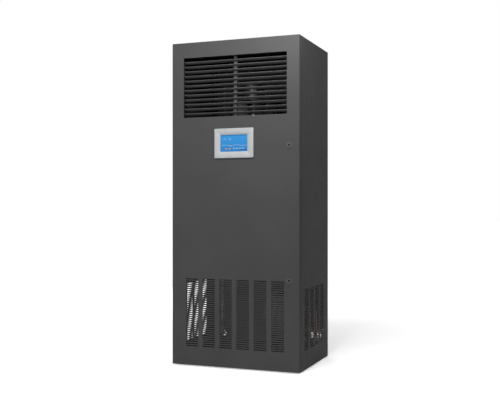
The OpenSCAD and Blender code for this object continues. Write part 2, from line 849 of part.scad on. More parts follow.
// Copper bends at the left end of the block. At the right end the rear row joins
// the liquid header and the front row joins the suction header.
module coil_tubes() {
    $fn = 24;
    stub = 9;
    bend_r = (tube_rows[1] - tube_rows[0]) / 2;
    color(copper) on_slope() for (i = [0 : tube_count - 1]) {
        translate([-coil_w / 2, tube_y(i), coil_t / 2]) {
            for (side = [-1, 1]) translate([-stub, 0, side * bend_r])
                rotate([0, 90, 0]) cylinder(h = stub, r = tube_r);
            translate([-stub, 0, 0]) rotate([90, -90, 0])
                rotate_extrude(angle = 180) translate([bend_r, 0]) circle(r = tube_r);
        }
        for (k = [0, 1]) translate([coil_w / 2, tube_y(i), tube_rows[k]])
            rotate([0, 90, 0])
                cylinder(h = [liquid_header_x, header_x][k] - coil_w / 2, r = tube_r);
    }
    color(copper) {
        on_slope() for (k = [0, 1])
            translate([[liquid_header_x, header_x][k], 20, tube_rows[k]]) rotate([-90, 0, 0])
                cylinder(h = tube_y(tube_count - 1), r = [liquid_header_r, header_r][k]);
        translate([header_x, header_foot[0], header_foot[1]]) {
            sphere(r = header_r + 1);
            translate([0, 0, -header_drop]) cylinder(h = header_drop, r = header_r);
        }
        translate([liquid_header_x, liquid_tee_y, liquid_tee_z])
            rotate([0, 90, 0]) cylinder(h = 12, r = liquid_header_r + 1);
    }
}

module drain_pan() {
    lo = [-pan_half_w, frame_back - 150, pan_z];
    hi = [pan_half_w, frame_back - 4, pan_z + 30];
    color(galvanised) difference() {
        union() {
            span(lo, hi);
            translate([drain_at[0], drain_y, pan_z - 8]) cylinder(h = 8, r = drain_r + 2);
        }
        span(lo + [1.5, 1.5, 1.5], hi + [-1.5, -1.5, 1]);
        translate([drain_at[0], drain_y, pan_z - 9]) cylinder(h = 20, r = drain_r - 2);
    }
}

// Drain pipe from the pan's spigot down behind the filter and out of the rear panel
module drain_pipe() {
    top = [drain_at[0], drain_y, pan_z - 8];
    out = drain_at[1];
    color(light_grey)
        tube([top, [top[0], top[1], out], [top[0], y_back - 1, out]], drain_r, 14);
}

module heater_elements() {
    z = deck_z - 74;
    color(aluminium) for (i = [0 : 2]) translate([0, y_mid + 60 + i * 46, z]) {
        tube([[-270, 0, 0], [270, 0, 0], [270, 0, 34], [-270, 0, 34]], 5, 12);
        for (s = [-1, 1]) span([s * 240 - 1, -8, -12], [s * 240 + 1, 8, deck_z - 2 - z]);
    }
}

// ---------------------------------------------------------------- electrics

box_lo = [-318, frame_front + 14, 905];
box_hi = [318, frame_front + box_d, deck_z - 26];
switch_x = -170;

// Open-fronted box with two mounting rails, and ears that reach the posts
module control_box() {
    wall = frame_x - frame_t;
    color(galvanised) {
        difference() {
            union() {
                span(box_lo, box_hi);
                span([-wall, box_lo[1], box_lo[2]], [wall, box_lo[1] + 1.5, box_hi[2]]);
            }
            span(box_lo + [1.5, -1, 1.5], box_hi + [-1.5, -1.5, -1.5]);
        }
        for (z = [box_hi[2] - 110, box_hi[2] - 260])
            span([box_lo[0] + 20, box_hi[1] - 9, z - 17], [box_hi[0] - 20, box_hi[1] - 1.5, z + 18]);
    }
}

// Fuse holders and the main switch on the upper rail, contactors and terminals below
module switchgear() {
    rail_y = box_hi[1] - 9;
    upper_z = box_hi[2] - 110;
    lower_z = box_hi[2] - 260;
    color(light_grey) for (i = [0 : 5]) translate([-110 + i * 19, rail_y, upper_z]) {
        span([0, -44, -42], [17.6, 0, 42]);
        span([0, -58, -22], [17.6, -44, 22]);
    }
    color(black) for (i = [0 : 4]) translate([-270 + i * 52, rail_y, lower_z]) {
        span([0, -60, -40], [45, 0, 40]);
        span([6, -82, -24], [39, -60, 24]);
    }
    color(light_grey) for (i = [0 : 13]) translate([40 + i * 9, rail_y, lower_z])
        span([0, -36, -26], [8, 0, 26]);
    color(black) translate([switch_x, rail_y, upper_z]) difference() {
        union() {
            span([-38, -52, -45], [38, 0, 45]);
            bar_y(22, -56, -52);
        }
        bar_y(6 + run_gap, -57, -40);
    }
}

// Rotary handle of the main switch, with its shaft in the switch body
module main_switch() {
    color([0.75, 0.08, 0.06]) translate([switch_x, box_hi[1] - 9, box_hi[2] - 110]) {
        bar_y(6, -64, -41);
        bar_y(19, -62, -56.3);
        span([-5.5, -80, -20], [5.5, -62, 20]);
    }
}

module controller() {
    color(black) translate([40, box_hi[1] - 9, box_hi[2] - 110]) {
        span([0, -50, -52], [220, 0, 52]);
        for (z = [-46, 46]) span([8, -58, z - 6], [212, -50, z + 6]);
    }
}

// Cover of the coil section, screwed behind the lips of the front posts
module inner_cover() {
    lo = [-frame_x + 4, frame_front + frame_t, pan_z + 2];
    hi = [frame_x - 4, frame_front + frame_t + 12, box_lo[2] - 3];
    color(galvanised) difference() {
        span(lo, hi);
        span(lo + [1.5, 1.5, 1.5], hi + [-1.5, 1, -1.5]);
        for (s = [-1, 1]) translate([s * 200, 0, (lo[2] + hi[2]) / 2])
            slot_xz(100, 26, lo[1] - 1, lo[1] + 3);
    }
}

// ---------------------------------------------------------------- refrigeration

function arc(cx, cz, r, from, to, n) =
    [for (i = [0 : n]) let (a = from + (to - from) * i / n) [cx + r * cos(a), cz + r * sin(a)]];

module compressor() {
    r = compressor_r;
    dome = 34;
    color(black) translate([compressor_at[0], compressor_at[1], compressor_z]) {
        rotate_extrude() polygon(concat(
            [[0, 0]],
            [[r - 24, 0], [r - 8, 8], [r, 24]],
            [[r, 96], [r + 2.5, 98], [r + 2.5, 106], [r, 108]],
            [[r, compressor_h - dome - 40], [r + 2.5, compressor_h - dome - 38],
             [r + 2.5, compressor_h - dome - 30], [r - 1, compressor_h - dome - 28]],
            arc(r - 1 - dome, compressor_h - dome, dome, 0, 90, 6),
            [[0, compressor_h]]));
        difference() {
            translate([0, 0, -2]) cube([mount_square + 40, mount_square + 40, 4], center = true);
            for (sx = [-1, 1], sy = [-1, 1])
                translate([sx * mount_square / 2, sy * mount_square / 2, -6])
                    cylinder(h = 8, r = 9);
        }
        translate([-r - 34, -40, 200]) cube([44, 80, 96]);
        translate([0, 0, 300 - compressor_z]) rotate([0, 90, 0]) cylinder(h = r, r = 16);
    }
}

module compressor_mounts() {
    floor_z = foot_h + frame_t;
    plate_z = compressor_z - 4;
    color(black) for (sx = [-1, 1], sy = [-1, 1])
        translate([compressor_at[0] + sx * mount_square / 2,
                   compressor_at[1] + sy * mount_square / 2, 0]) {
            translate([0, 0, floor_z]) cylinder(h = plate_z - floor_z, r = 15);
            translate([0, 0, plate_z]) cylinder(h = 4, r = 9);
            translate([0, 0, compressor_z]) cylinder(h = 5, r = 14);
        }
}

// Hot gas, suction and liquid lines, each from its outside stub or the compressor
module refrigerant_pipes() {
    c = [compressor_at[0], compressor_at[1], compressor_z];
    top = compressor_h + c[2];
    rear_y = frame_back - 30;
    out_y = y_back - 1;
    drier_y = frame_back - 50;
    color(copper) {
        tube([[c[0] + 30, c[1], top], [c[0] + 30, c[1], top + 26],
              [c[0] + 30, rear_y, top + 26], [gas_x, rear_y, top + 26],
              [gas_x, rear_y, entry_z], [gas_x, out_y, entry_z]], 8, 13);
        tube([[header_x, header_foot[0], header_foot[1] - header_drop],
              [header_x, header_foot[0], 300],
              [header_x, c[1], 300], [c[0] + compressor_r, c[1], 300]], header_r, 16);
        tube([[liquid_x, out_y, entry_z], [liquid_x, drier_y, entry_z],
              [liquid_x, drier_y, 330]], 6, 13);
        tube([[liquid_x, drier_y, 452], [liquid_x, drier_y, 480],
              [liquid_riser[0], drier_y, 480], [liquid_riser[0], drier_y, valve_z]], 5, 9);
        tube([[liquid_riser[0], drier_y, valve_z + 46], [liquid_riser[0], drier_y, liquid_tee_z],
              [liquid_riser[0], liquid_tee_y, liquid_tee_z],
              [liquid_header_x + 12, liquid_tee_y, liquid_tee_z]], 5, 9);
    }
}

module filter_drier() {
    color([0.15, 0.2, 0.35]) translate([liquid_x, frame_back - 50, 0]) rotate_extrude()
        polygon([[0, 330], [8, 330], [10, 342], [25, 352], [25, 430], [10, 440], [8, 452], [0, 452]]);
}

// Thermostatic valve: a brass body on the riser with its round power head in front
module expansion_valve() {
    color([0.72, 0.58, 0.30]) translate([liquid_riser[0], liquid_riser[1], valve_z]) {
        cylinder(h = 46, r = 8);
        translate([0, 0, 23]) rotate([90, 0, 0]) cylinder(h = 22, r = 7);
        translate([0, -20, 23]) rotate([90, 0, 0]) cylinder(h = 8, r = 15);
    }
}

// ---------------------------------------------------------------- assembly

base_frame();
levelling_feet();
frame_posts();
top_frame();
side_rails();
top_panel();
side_panel_left();
side_panel_right();
rear_panel();
pipe_entry_plate();
cable_gland();
panel_screws();
fan_deck();
fan_inlet_nozzle();
fan_bracket();
fan_motor();
fan_impeller();
filter_frame();
filter_media();
coil_fins();
coil_casing();
coil_tubes();
drain_pan();
drain_pipe();
heater_elements();
control_box();
switchgear();
main_switch();
controller();
inner_cover();
compressor();
compressor_mounts();
refrigerant_pipes();
filter_drier();
expansion_valve();
hinge_brackets();
door_shell();
door_gasket();
door_stiffeners();
hinge_bushings();
grille_frame();
grille_mullion();
display_bezel();
display_screen();
display_housing();
lock_housings();
lock_core_upper();
lock_core_lower();
blade(1);  // blade_01
blade(2);  // blade_02
blade(3);  // blade_03
blade(4);  // blade_04
blade(5);  // blade_05
blade(6);  // blade_06
blade(7);  // blade_07
blade(8);  // blade_08
blade(9);  // blade_09
blade(10);  // blade_10
blade(11);  // blade_11
blade(12);  // blade_12
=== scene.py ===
"""Looks of the floor-standing cooling cabinet.

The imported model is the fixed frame. This script gives every node a finish, adds the
detail that the solids leave out, and sets the studio: floor, lights and camera.
Lengths are in metres. X runs across the cabinet, the door faces -Y, and Z is up.
"""

import json
import logging
import math
from dataclasses import dataclass, field
from enum import Enum
from typing import Sequence

import bmesh
import bpy
import numpy as np
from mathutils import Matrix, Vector


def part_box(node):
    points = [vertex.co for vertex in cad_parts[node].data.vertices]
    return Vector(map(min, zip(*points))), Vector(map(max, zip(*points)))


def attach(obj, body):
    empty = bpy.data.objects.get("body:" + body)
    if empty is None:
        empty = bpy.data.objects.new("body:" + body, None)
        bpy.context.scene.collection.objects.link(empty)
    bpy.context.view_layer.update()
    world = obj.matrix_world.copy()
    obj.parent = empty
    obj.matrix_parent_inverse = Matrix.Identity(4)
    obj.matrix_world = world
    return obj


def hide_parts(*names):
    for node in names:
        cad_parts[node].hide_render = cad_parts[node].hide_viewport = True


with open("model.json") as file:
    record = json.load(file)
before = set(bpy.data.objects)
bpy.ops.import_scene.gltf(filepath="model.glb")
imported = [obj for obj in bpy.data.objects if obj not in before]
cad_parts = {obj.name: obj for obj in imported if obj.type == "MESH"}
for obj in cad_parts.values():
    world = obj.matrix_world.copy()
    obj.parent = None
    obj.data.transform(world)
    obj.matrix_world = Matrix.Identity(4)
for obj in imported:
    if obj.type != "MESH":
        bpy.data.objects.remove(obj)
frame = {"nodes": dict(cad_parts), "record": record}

LOG = logging.getLogger("cabinet")
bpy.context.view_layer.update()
MM = 0.001
Colour = tuple[float, float, float]


class Body(Enum):
    """Bodies of the frame that new pieces ride on."""

    CABINET = "cabinet"
    DOOR = "door"
    IMPELLER = "impeller"


# ------------------------------------------------------------------ node recipes


class Recipe:
    """Node tree of one material, with short ways to add and join nodes."""

    def __init__(self, name: str) -> None:
        """Starts an empty tree with a Principled shader on its output.

        Args:
            name: the material's name.
        """
        self.material = bpy.data.materials.new(name)
        self.material.use_nodes = True
        self.nodes = self.material.node_tree.nodes
        self.links = self.material.node_tree.links
        self.nodes.clear()
        self.output = self.nodes.new("ShaderNodeOutputMaterial")
        self.shader = self.nodes.new("ShaderNodeBsdfPrincipled")
        self.join(self.shader.outputs["BSDF"], self.output.inputs["Surface"])
        self.coords = self.nodes.new("ShaderNodeTexCoord").outputs["Object"]

    def join(self, source: bpy.types.NodeSocket, target: bpy.types.NodeSocket) -> None:
        """Links two sockets."""
        self.links.new(source, target)

    def surface(self, **values: float | Colour) -> None:
        """Sets constant values on the shader, by socket name with spaces as underscores.

        Args:
            values: socket values, such as Roughness=0.5 or Base_Color=(r, g, b).
        """
        for key, value in values.items():
            socket = self.shader.inputs[key.replace("_", " ")]
            is_colour = isinstance(value, tuple) and len(value) == 3 and socket.type == "RGBA"
            socket.default_value = (*value, 1.0) if is_colour else value

    def stretched(self, scale: Sequence[float]) -> bpy.types.NodeSocket:
        """Object coordinates scaled unevenly, for grain that runs one way.

        Args:
            scale: factor along each axis.

        Returns:
            The scaled coordinates.
        """
        mapping = self.nodes.new("ShaderNodeMapping")
        mapping.inputs["Scale"].default_value = scale
        self.join(self.coords, mapping.inputs["Vector"])
        return mapping.outputs["Vector"]

    def noise(
        self,
        scale: float,
        detail: float = 3.0,
        vector: bpy.types.NodeSocket | None = None,
    ) -> bpy.types.NodeSocket:
        """Adds a noise texture.

        Args:
            scale: features per metre.
            detail: octaves of finer noise.
            vector: coordinates, or None for the object's own.

        Returns:
            The noise's value, from 0 to 1.
        """
        node = self.nodes.new("ShaderNodeTexNoise")
        node.inputs["Scale"].default_value = scale
        node.inputs["Detail"].default_value = detail
        self.join(vector or self.coords, node.inputs["Vector"])
        return node.outputs["Fac"]

    def cells(self, scale: float) -> bpy.types.Node:
        """Adds a Voronoi texture of irregular cells.

        Args:
            scale: cells per metre.

        Returns:
            The texture node.
        """
        node = self.nodes.new("ShaderNodeTexVoronoi")
        node.inputs["Scale"].default_value = scale
        self.join(self.coords, node.inputs["Vector"])
        return node

    def spread(
        self,
        value: bpy.types.NodeSocket,
        low: float,
        high: float,
        source: Sequence[float] = (0.3, 0.7),
    ) -> bpy.types.NodeSocket:
        """Maps a texture value to a range.

        Args:
            value: the texture value.
            low: result at the low end.
            high: result at the high end.
            source: the texture values that count as the two ends.

        Returns:
            The mapped value.
        """
        node = self.nodes.new("ShaderNodeMapRange")
        node.inputs["From Min"].default_value = source[0]
        node.inputs["From Max"].default_value = source[1]
        node.inputs["To Min"].default_value = low
        node.inputs["To Max"].default_value = high
        self.join(value, node.inputs["Value"])
        return node.outputs["Result"]

    def ramp(
        self, value: bpy.types.NodeSocket, stops: Sequence[tuple[float, Colour]]
    ) -> bpy.types.NodeSocket:
        """Turns a value into a colour through a ramp.

        Args:
            value: the value, from 0 to 1.
            stops: places and colours of the ramp.

        Returns:
            The colour.
        """
        node = self.nodes.new("ShaderNodeValToRGB")
        elements = node.color_ramp.elements
        while len(elements) < len(stops):
            elements.new(0.5)
        for element, (place, colour) in zip(elements, stops):
            element.position = place
            element.color = (*colour, 1.0)
        self.join(value, node.inputs["Fac"])
        return node.outputs["Color"]

    def tint(self, value: bpy.types.NodeSocket, *stops: tuple[float, Colour]) -> None:
        """Colours the surface by a value through a ramp.

        Args:
            value: the value, from 0 to 1.
            stops: places and colours of the ramp.
        """
        self.join(self.ramp(value, stops), self.shader.inputs["Base Color"])

    def rough(
        self,
        value: bpy.types.NodeSocket,
        middle: float,
        less: float,
        more: float,
        source: Sequence[float] = (0.3, 0.7),
    ) -> None:
        """Varies the surface's roughness by a texture value.

        Args:
            value: the texture value.
            middle: the finish's roughness.
            less: how far it falls below the middle.
            more: how far it rises above it.
            source: the texture values that count as the two ends.
        """
        spread = self.spread(value, middle - less, middle + more, source)
        self.join(spread, self.shader.inputs["Roughness"])

    def rounded(self, radius: float) -> bpy.types.NodeSocket:
        """Normals that roll over sharp edges, as a coat of paint does.

        Args:
            radius: the edge's radius.

        Returns:
            The rounded normal.
        """
        node = self.nodes.new("ShaderNodeBevel")
        node.samples = 4
        node.inputs["Radius"].default_value = radius
        return node.outputs["Normal"]

    def bump(
        self,
        height: bpy.types.NodeSocket,
        distance: float,
        strength: float = 1.0,
        normal: bpy.types.NodeSocket | None = None,
    ) -> None:
        """Tilts the surface by a height texture.

        Args:
            height: the height texture, from 0 to 1.
            distance: depth in metres at a height of 1.
            strength: share of the tilt that shows.
            normal: a normal to start from.
        """
        node = self.nodes.new("ShaderNodeBump")
        node.inputs["Distance"].default_value = distance
        node.inputs["Strength"].default_value = strength
        self.join(height, node.inputs["Height"])
        if normal is not None:
            self.join(normal, node.inputs["Normal"])
        self.join(node.outputs["Normal"], self.shader.inputs["Normal"])


def shade(colour: Colour, factor: float) -> Colour:
    """A colour made lighter or darker by a factor."""
    return tuple(min(1.0, channel * factor) for channel in colour)


# ------------------------------------------------------------------ finishes


@dataclass(frozen=True)
class PowderCoat:
    """Baked powder paint on sheet: a fine orange peel and slight cloudiness."""

    name: str
    colour: Colour
    roughness: float = 0.5
    gloss: float = 0.015
    peel: float = 900.0
    edge: float = 0.0012

    def build(self) -> bpy.types.Material:
        """Makes the material."""
        recipe = Recipe(self.name)
        dark, light = shade(self.colour, 0.95), shade(self.colour, 1.05)
        recipe.tint(recipe.noise(3.2, 4.0), (0.35, dark), (0.65, light))
        recipe.rough(recipe.noise(26.0, 5.0), self.roughness, 0.04, 0.05)
        recipe.surface(Specular_IOR_Level=self.gloss)
        recipe.bump(recipe.noise(self.peel, 2.0), 0.00005, 0.5, recipe.rounded(self.edge))
        return recipe.material


@dataclass(frozen=True)
class ZincCoat:
    """Hot-dip zinc on sheet: flat crystals of slightly different grey."""

    name: str
    colour: Colour = (0.47, 0.49, 0.50)
    crystal: float = 110.0
    roughness: float = 0.42

    def build(self) -> bpy.types.Material:
        """Makes the material."""
        recipe = Recipe(self.name)
        cells = recipe.cells(self.crystal)
        split = recipe.nodes.new("ShaderNodeSeparateColor")
        recipe.join(cells.outputs["Color"], split.inputs["Color"])
        dark, light = shade(self.colour, 0.86), shade(self.colour, 1.14)
        recipe.tint(split.outputs["Red"], (0.0, dark), (0.5, self.colour), (1.0, light))
        recipe.rough(split.outputs["Green"], self.roughness, 0.09, 0.1, (0.0, 1.0))
        recipe.surface(Metallic=0.85)
        recipe.bump(recipe.noise(420.0, 3.0), 0.00003, 0.4, recipe.rounded(0.0006))
        return recipe.material


@dataclass(frozen=True)
class DrawnMetal:
    """Bare metal with grain along one axis and a patchy tarnish."""

    name: str
    colour: Colour
    tarnish: Colour
    roughness: float = 0.3
    grain: tuple[float, float, float] = (30.0, 900.0, 900.0)

    def build(self) -> bpy.types.Material:
        """Makes the material."""
        recipe = Recipe(self.name)
        recipe.tint(recipe.noise(9.0, 5.0), (0.38, self.colour), (0.72, self.tarnish))
        streaks = recipe.noise(1.0, 3.0, recipe.stretched(self.grain))
        recipe.rough(streaks, self.roughness, 0.08, 0.12)
        recipe.surface(Metallic=1.0)
        recipe.bump(streaks, 0.00003, 0.35, recipe.rounded(0.0004))
        return recipe.material


@dataclass(frozen=True)
class Enamel:
    """Glossy paint brushed or dipped on castings and shells."""

    name: str
    colour: Colour
    roughness: float = 0.28

    def build(self) -> bpy.types.Material:
        """Makes the material."""
        recipe = Recipe(self.name)
        dark, light = shade(self.colour, 0.8), shade(self.colour, 1.25)
        recipe.tint(recipe.noise(14.0, 4.0), (0.3, dark), (0.75, light))
        recipe.rough(recipe.noise(40.0, 4.0), self.roughness, 0.06, 0.1)
        recipe.surface(Coat_Weight=0.3, Coat_Roughness=0.15)
        recipe.bump(recipe.noise(180.0, 3.0), 0.00012, 0.4, recipe.rounded(0.0010))
        return recipe.material


@dataclass(frozen=True)
class Moulding:
    """Moulded plastic with a spark-eroded texture."""

    name: str
    colour: Colour
    roughness: float = 0.45
    texture: float = 1500.0
    depth: float = 0.00004

    def build(self) -> bpy.types.Material:
        """Makes the material."""
        recipe = Recipe(self.name)
        dark, light = shade(self.colour, 0.96), shade(self.colour, 1.04)
        recipe.tint(recipe.noise(20.0, 3.0), (0.3, dark), (0.7, light))
        recipe.rough(recipe.noise(60.0, 3.0), self.roughness, 0.05, 0.06)
        recipe.surface(Specular_IOR_Level=0.5)
        recipe.bump(recipe.noise(self.texture, 2.0), self.depth, 0.5, recipe.rounded(0.0007))
        return recipe.material


@dataclass(frozen=True)
class Elastomer:
    """Matt rubber with a faint bloom."""

    name: str
    colour: Colour = (0.018, 0.018, 0.019)

    def build(self) -> bpy.types.Material:
        """Makes the material."""
        recipe = Recipe(self.name)
        recipe.tint(recipe.noise(35.0, 4.0), (0.3, self.colour), (0.8, shade(self.colour, 1.9)))
        recipe.surface(Roughness=0.82, Specular_IOR_Level=0.3)
        recipe.bump(recipe.noise(700.0, 3.0), 0.00008, 0.5)
        return recipe.material


@dataclass(frozen=True)
class FilterCloth:
    """Matted synthetic fibre, laid in no one direction."""

    name: str
    colour: Colour = (0.74, 0.74, 0.71)

    def build(self) -> bpy.types.Material:
        """Makes the material."""
        recipe = Recipe(self.name)
        fibres = recipe.noise(1.0, 6.0, recipe.stretched((260.0, 900.0, 900.0)))
        dark, light = shade(self.colour, 0.82), shade(self.colour, 1.05)
        recipe.tint(fibres, (0.3, dark), (0.7, light))
        recipe.surface(Roughness=0.95, Sheen_Weight=0.3, Specular_IOR_Level=0.2)
        recipe.bump(fibres, 0.0004, 0.7)
        return recipe.material


@dataclass(frozen=True)
class LitScreen:
    """Backlit display: a colour that glows behind anti-glare glass."""

    name: str
    low: Colour
    high: Colour
    span: tuple[float, float] = (1.195, 1.285)
    strength: float = 1.0

    def build(self) -> bpy.types.Material:
        """Makes the material. The colour runs from low to high up the screen."""
        recipe = Recipe(self.name)
        split = recipe.nodes.new("ShaderNodeSeparateXYZ")
        recipe.join(recipe.coords, split.inputs["Vector"])
        place = recipe.spread(split.outputs["Z"], 0.0, 1.0, self.span)
        glow = recipe.ramp(place, [(0.0, self.low), (1.0, self.high)])
        recipe.join(glow, recipe.shader.inputs["Emission Color"])
        recipe.surface(
            Base_Color=(0.01, 0.012, 0.015),
            Roughness=0.3,
            Specular_IOR_Level=0.08,
            Emission_Strength=self.strength,
        )
        return recipe.material


CHARCOAL: Colour = (0.060, 0.060, 0.061)

FINISHES = {
    "dark_paint": PowderCoat("dark_paint", CHARCOAL),
    "blade_paint": PowderCoat("blade_paint", (0.075, 0.075, 0.076), 0.42, edge=0.0004),
    "frame_paint": PowderCoat("frame_paint", (0.030, 0.030, 0.031), 0.55),
    "grille_black": PowderCoat("grille_black", (0.022, 0.022, 0.023), 0.6, edge=0.0004),
    "galvanised": ZincCoat("galvanised"),
    "zinc": DrawnMetal("zinc", (0.62, 0.62, 0.60), (0.50, 0.49, 0.46), 0.32),
    "dark_zinc": DrawnMetal("dark_zinc", (0.16, 0.16, 0.165), (0.10, 0.10, 0.10), 0.34),
    "aluminium": DrawnMetal("aluminium", (0.78, 0.79, 0.80), (0.66, 0.67, 0.68), 0.34),
    "copper": DrawnMetal("copper", (0.72, 0.33, 0.19), (0.42, 0.19, 0.11), 0.26),
    "brass": DrawnMetal("brass", (0.68, 0.48, 0.20), (0.48, 0.34, 0.16), 0.28),
    "black_paint": Enamel("black_paint", (0.020, 0.020, 0.022)),
    # Near-black fan wheel: partly its own colour, partly painted shade for the dark space behind
    # the grille.
    "composite": Moulding("composite", (0.016, 0.016, 0.017), 0.5),
    "drier_paint": Enamel("drier_paint", (0.020, 0.045, 0.16)),
    "black_plastic": Moulding("black_plastic", (0.028, 0.028, 0.030)),
    "grey_plastic": Moulding("grey_plastic", (0.50, 0.51, 0.51)),
    "bezel_plastic": Moulding("bezel_plastic", (0.33, 0.34, 0.345), 0.42),
    "red_plastic": Moulding("red_plastic", (0.55, 0.02, 0.015), 0.3),
    "seal_rubber": Elastomer("seal_rubber"),
    "filter_cloth": FilterCloth("filter_cloth"),
    "lit_screen": LitScreen("lit_screen", (0.014, 0.205, 0.53), (0.020, 0.285, 0.68)),
    "lit_pale": LitScreen("lit_pale", (0.30, 0.50, 0.72), (0.22, 0.44, 0.74)),
    "lit_warm": LitScreen("lit_warm", (0.62, 0.24, 0.06), (0.70, 0.42, 0.16)),
    "lit_deep": LitScreen("lit_deep", (0.008, 0.110, 0.33), (0.012, 0.150, 0.42)),
    "wire_brown": Moulding("wire_brown", (0.16, 0.06, 0.03)),
    "wire_blue": Moulding("wire_blue", (0.03, 0.09, 0.32)),
    "duct_grey": Moulding("duct_grey", (0.32, 0.33, 0.34), 0.55),
    "foam": Elastomer("foam", (0.012, 0.012, 0.013)),
}


# ------------------------------------------------------------------ shapes


def rounded_rectangle(
    width: float, height: float, radius: float, steps: int = 6
) -> np.ndarray:
    """Points round a rectangle with arcs at its corners.

    Each corner is a quarter circle about a centre set in by the radius, so a point is
    the corner's centre plus the radius times the cosine and sine of its angle.

    Args:
        width: whole width.
        height: whole height.
        radius: corner radius.
        steps: intervals in each quarter circle.

    Returns:
        Points of shape (4 * (steps + 1), 2).
    """
    quarter = np.linspace(0.0, math.pi / 2, steps + 1)
    angles = (quarter[None, :] + np.arange(4)[:, None] * math.pi / 2).ravel()
    arcs = np.stack([np.cos(angles), np.sin(angles)], axis=1)
    half = np.array([width / 2 - radius, height / 2 - radius])
    signs = np.repeat([[1, 1], [-1, 1], [-1, -1], [1, -1]], steps + 1, axis=0)
    return signs * half + arcs * radius


def smooth_path(points: Sequence[Sequence[float]], steps: int = 8) -> np.ndarray:
    """A Catmull-Rom curve through points.

    Between two points the curve is the cubic whose end slopes are half the chord
    between the neighbours on either side.

    Args:
        points: the points to pass through.
        steps: intervals between two points.

    Returns:
        Points along the curve, of shape (n, 3).
    """
    knots = np.asarray(points, float)
    padded = np.vstack([2 * knots[0] - knots[1], knots, 2 * knots[-1] - knots[-2]])
    t = np.linspace(0.0, 1.0, steps, endpoint=False)[None, :, None]
    a, b, c, d = (padded[i : len(padded) - 3 + i, None, :] for i in range(4))
    curve = 0.5 * (
        2 * b + (c - a) * t + (2 * a - 5 * b + 4 * c - d) * t**2 + (3 * b - a - 3 * c + d) * t**3
    )
    return np.vstack([curve.reshape(-1, 3), knots[-1]])


def cornered_path(points: Sequence[Sequence[float]], reach: float, steps: int = 6) -> np.ndarray:
    """Straight legs joined by bends.

    Each bend is a quadratic curve whose ends lie the reach before and after the corner
    and whose control point is the corner.

    Args:
        points: the path's corners.
        reach: distance from a corner to the ends of its bend.
        steps: intervals in a bend.

    Returns:
        Points along the path, of shape (n, 3).
    """
    corners = np.asarray(points, float)
    legs = np.diff(corners, axis=0)
    legs /= np.linalg.norm(legs, axis=1, keepdims=True)
    middle = corners[1:-1, None]
    start, end = middle - legs[:-1, None] * reach, middle + legs[1:, None] * reach
    t = np.linspace(0.0, 1.0, steps + 1)[None, :, None]
    bends = (1 - t) ** 2 * start + 2 * t * (1 - t) * middle + t**2 * end
    return np.vstack([corners[:1], bends.reshape(-1, 3), corners[-1:]])


def tube_grid(path: np.ndarray, radius: float | np.ndarray, sides: int = 12) -> np.ndarray:
    """Rings of points round a path.

    At each point the ring lies in the plane across the tangent: centre plus radius
    times (cosine * side + sine * up), with side = tangent x reference.

    Args:
        path: points along the middle, of shape (n, 3).
        radius: one radius, or one for each point.
        sides: points in a ring.

    Returns:
        Ring points, of shape (n, sides, 3).
    """
    tangent = np.gradient(path, axis=0)
    tangent /= np.linalg.norm(tangent, axis=1, keepdims=True)
    reference = np.array([0.31, 0.27, 0.91])
    side = np.cross(tangent, reference)
    side /= np.linalg.norm(side, axis=1, keepdims=True)
    up = np.cross(side, tangent)
    angle = np.linspace(0.0, 2 * math.pi, sides, endpoint=False)
    ring = np.cos(angle)[None, :, None] * side[:, None] + np.sin(angle)[None, :, None] * up[:, None]
    size = np.broadcast_to(np.asarray(radius, float), (len(path),))
    return path[:, None] + ring * size[:, None, None]


def ring_grid(
    profile: np.ndarray,
    outer: Sequence[float],
    inner: Sequence[float],
    radii: Sequence[float],
    centre: Sequence[float],
) -> np.ndarray:
    """A closed profile carried round a rounded rectangle that faces -Y.

    The ring at parameter s is a rounded rectangle whose width, height and corner radius
    run in a straight line from the outer outline (s = 0) to the inner one (s = 1).

    Args:
        profile: (s, y) pairs, of shape (m, 2).
        outer: width and height of the outer outline.
        inner: width and height of the inner outline.
        radii: corner radii of the two outlines.
        centre: x and z of their middle.

    Returns:
        Points of shape (m, outline, 3).
    """
    outside = rounded_rectangle(*outer, radii[0])
    inside = rounded_rectangle(*inner, radii[1])
    share = profile[:, :1, None]
    flat = outside[None] * (1 - share) + inside[None] * share + np.asarray(centre, float)
    depth = np.broadcast_to(profile[:, 1:, None], (*flat.shape[:2], 1))
    return np.concatenate([flat[..., :1], depth, flat[..., 1:]], axis=-1)


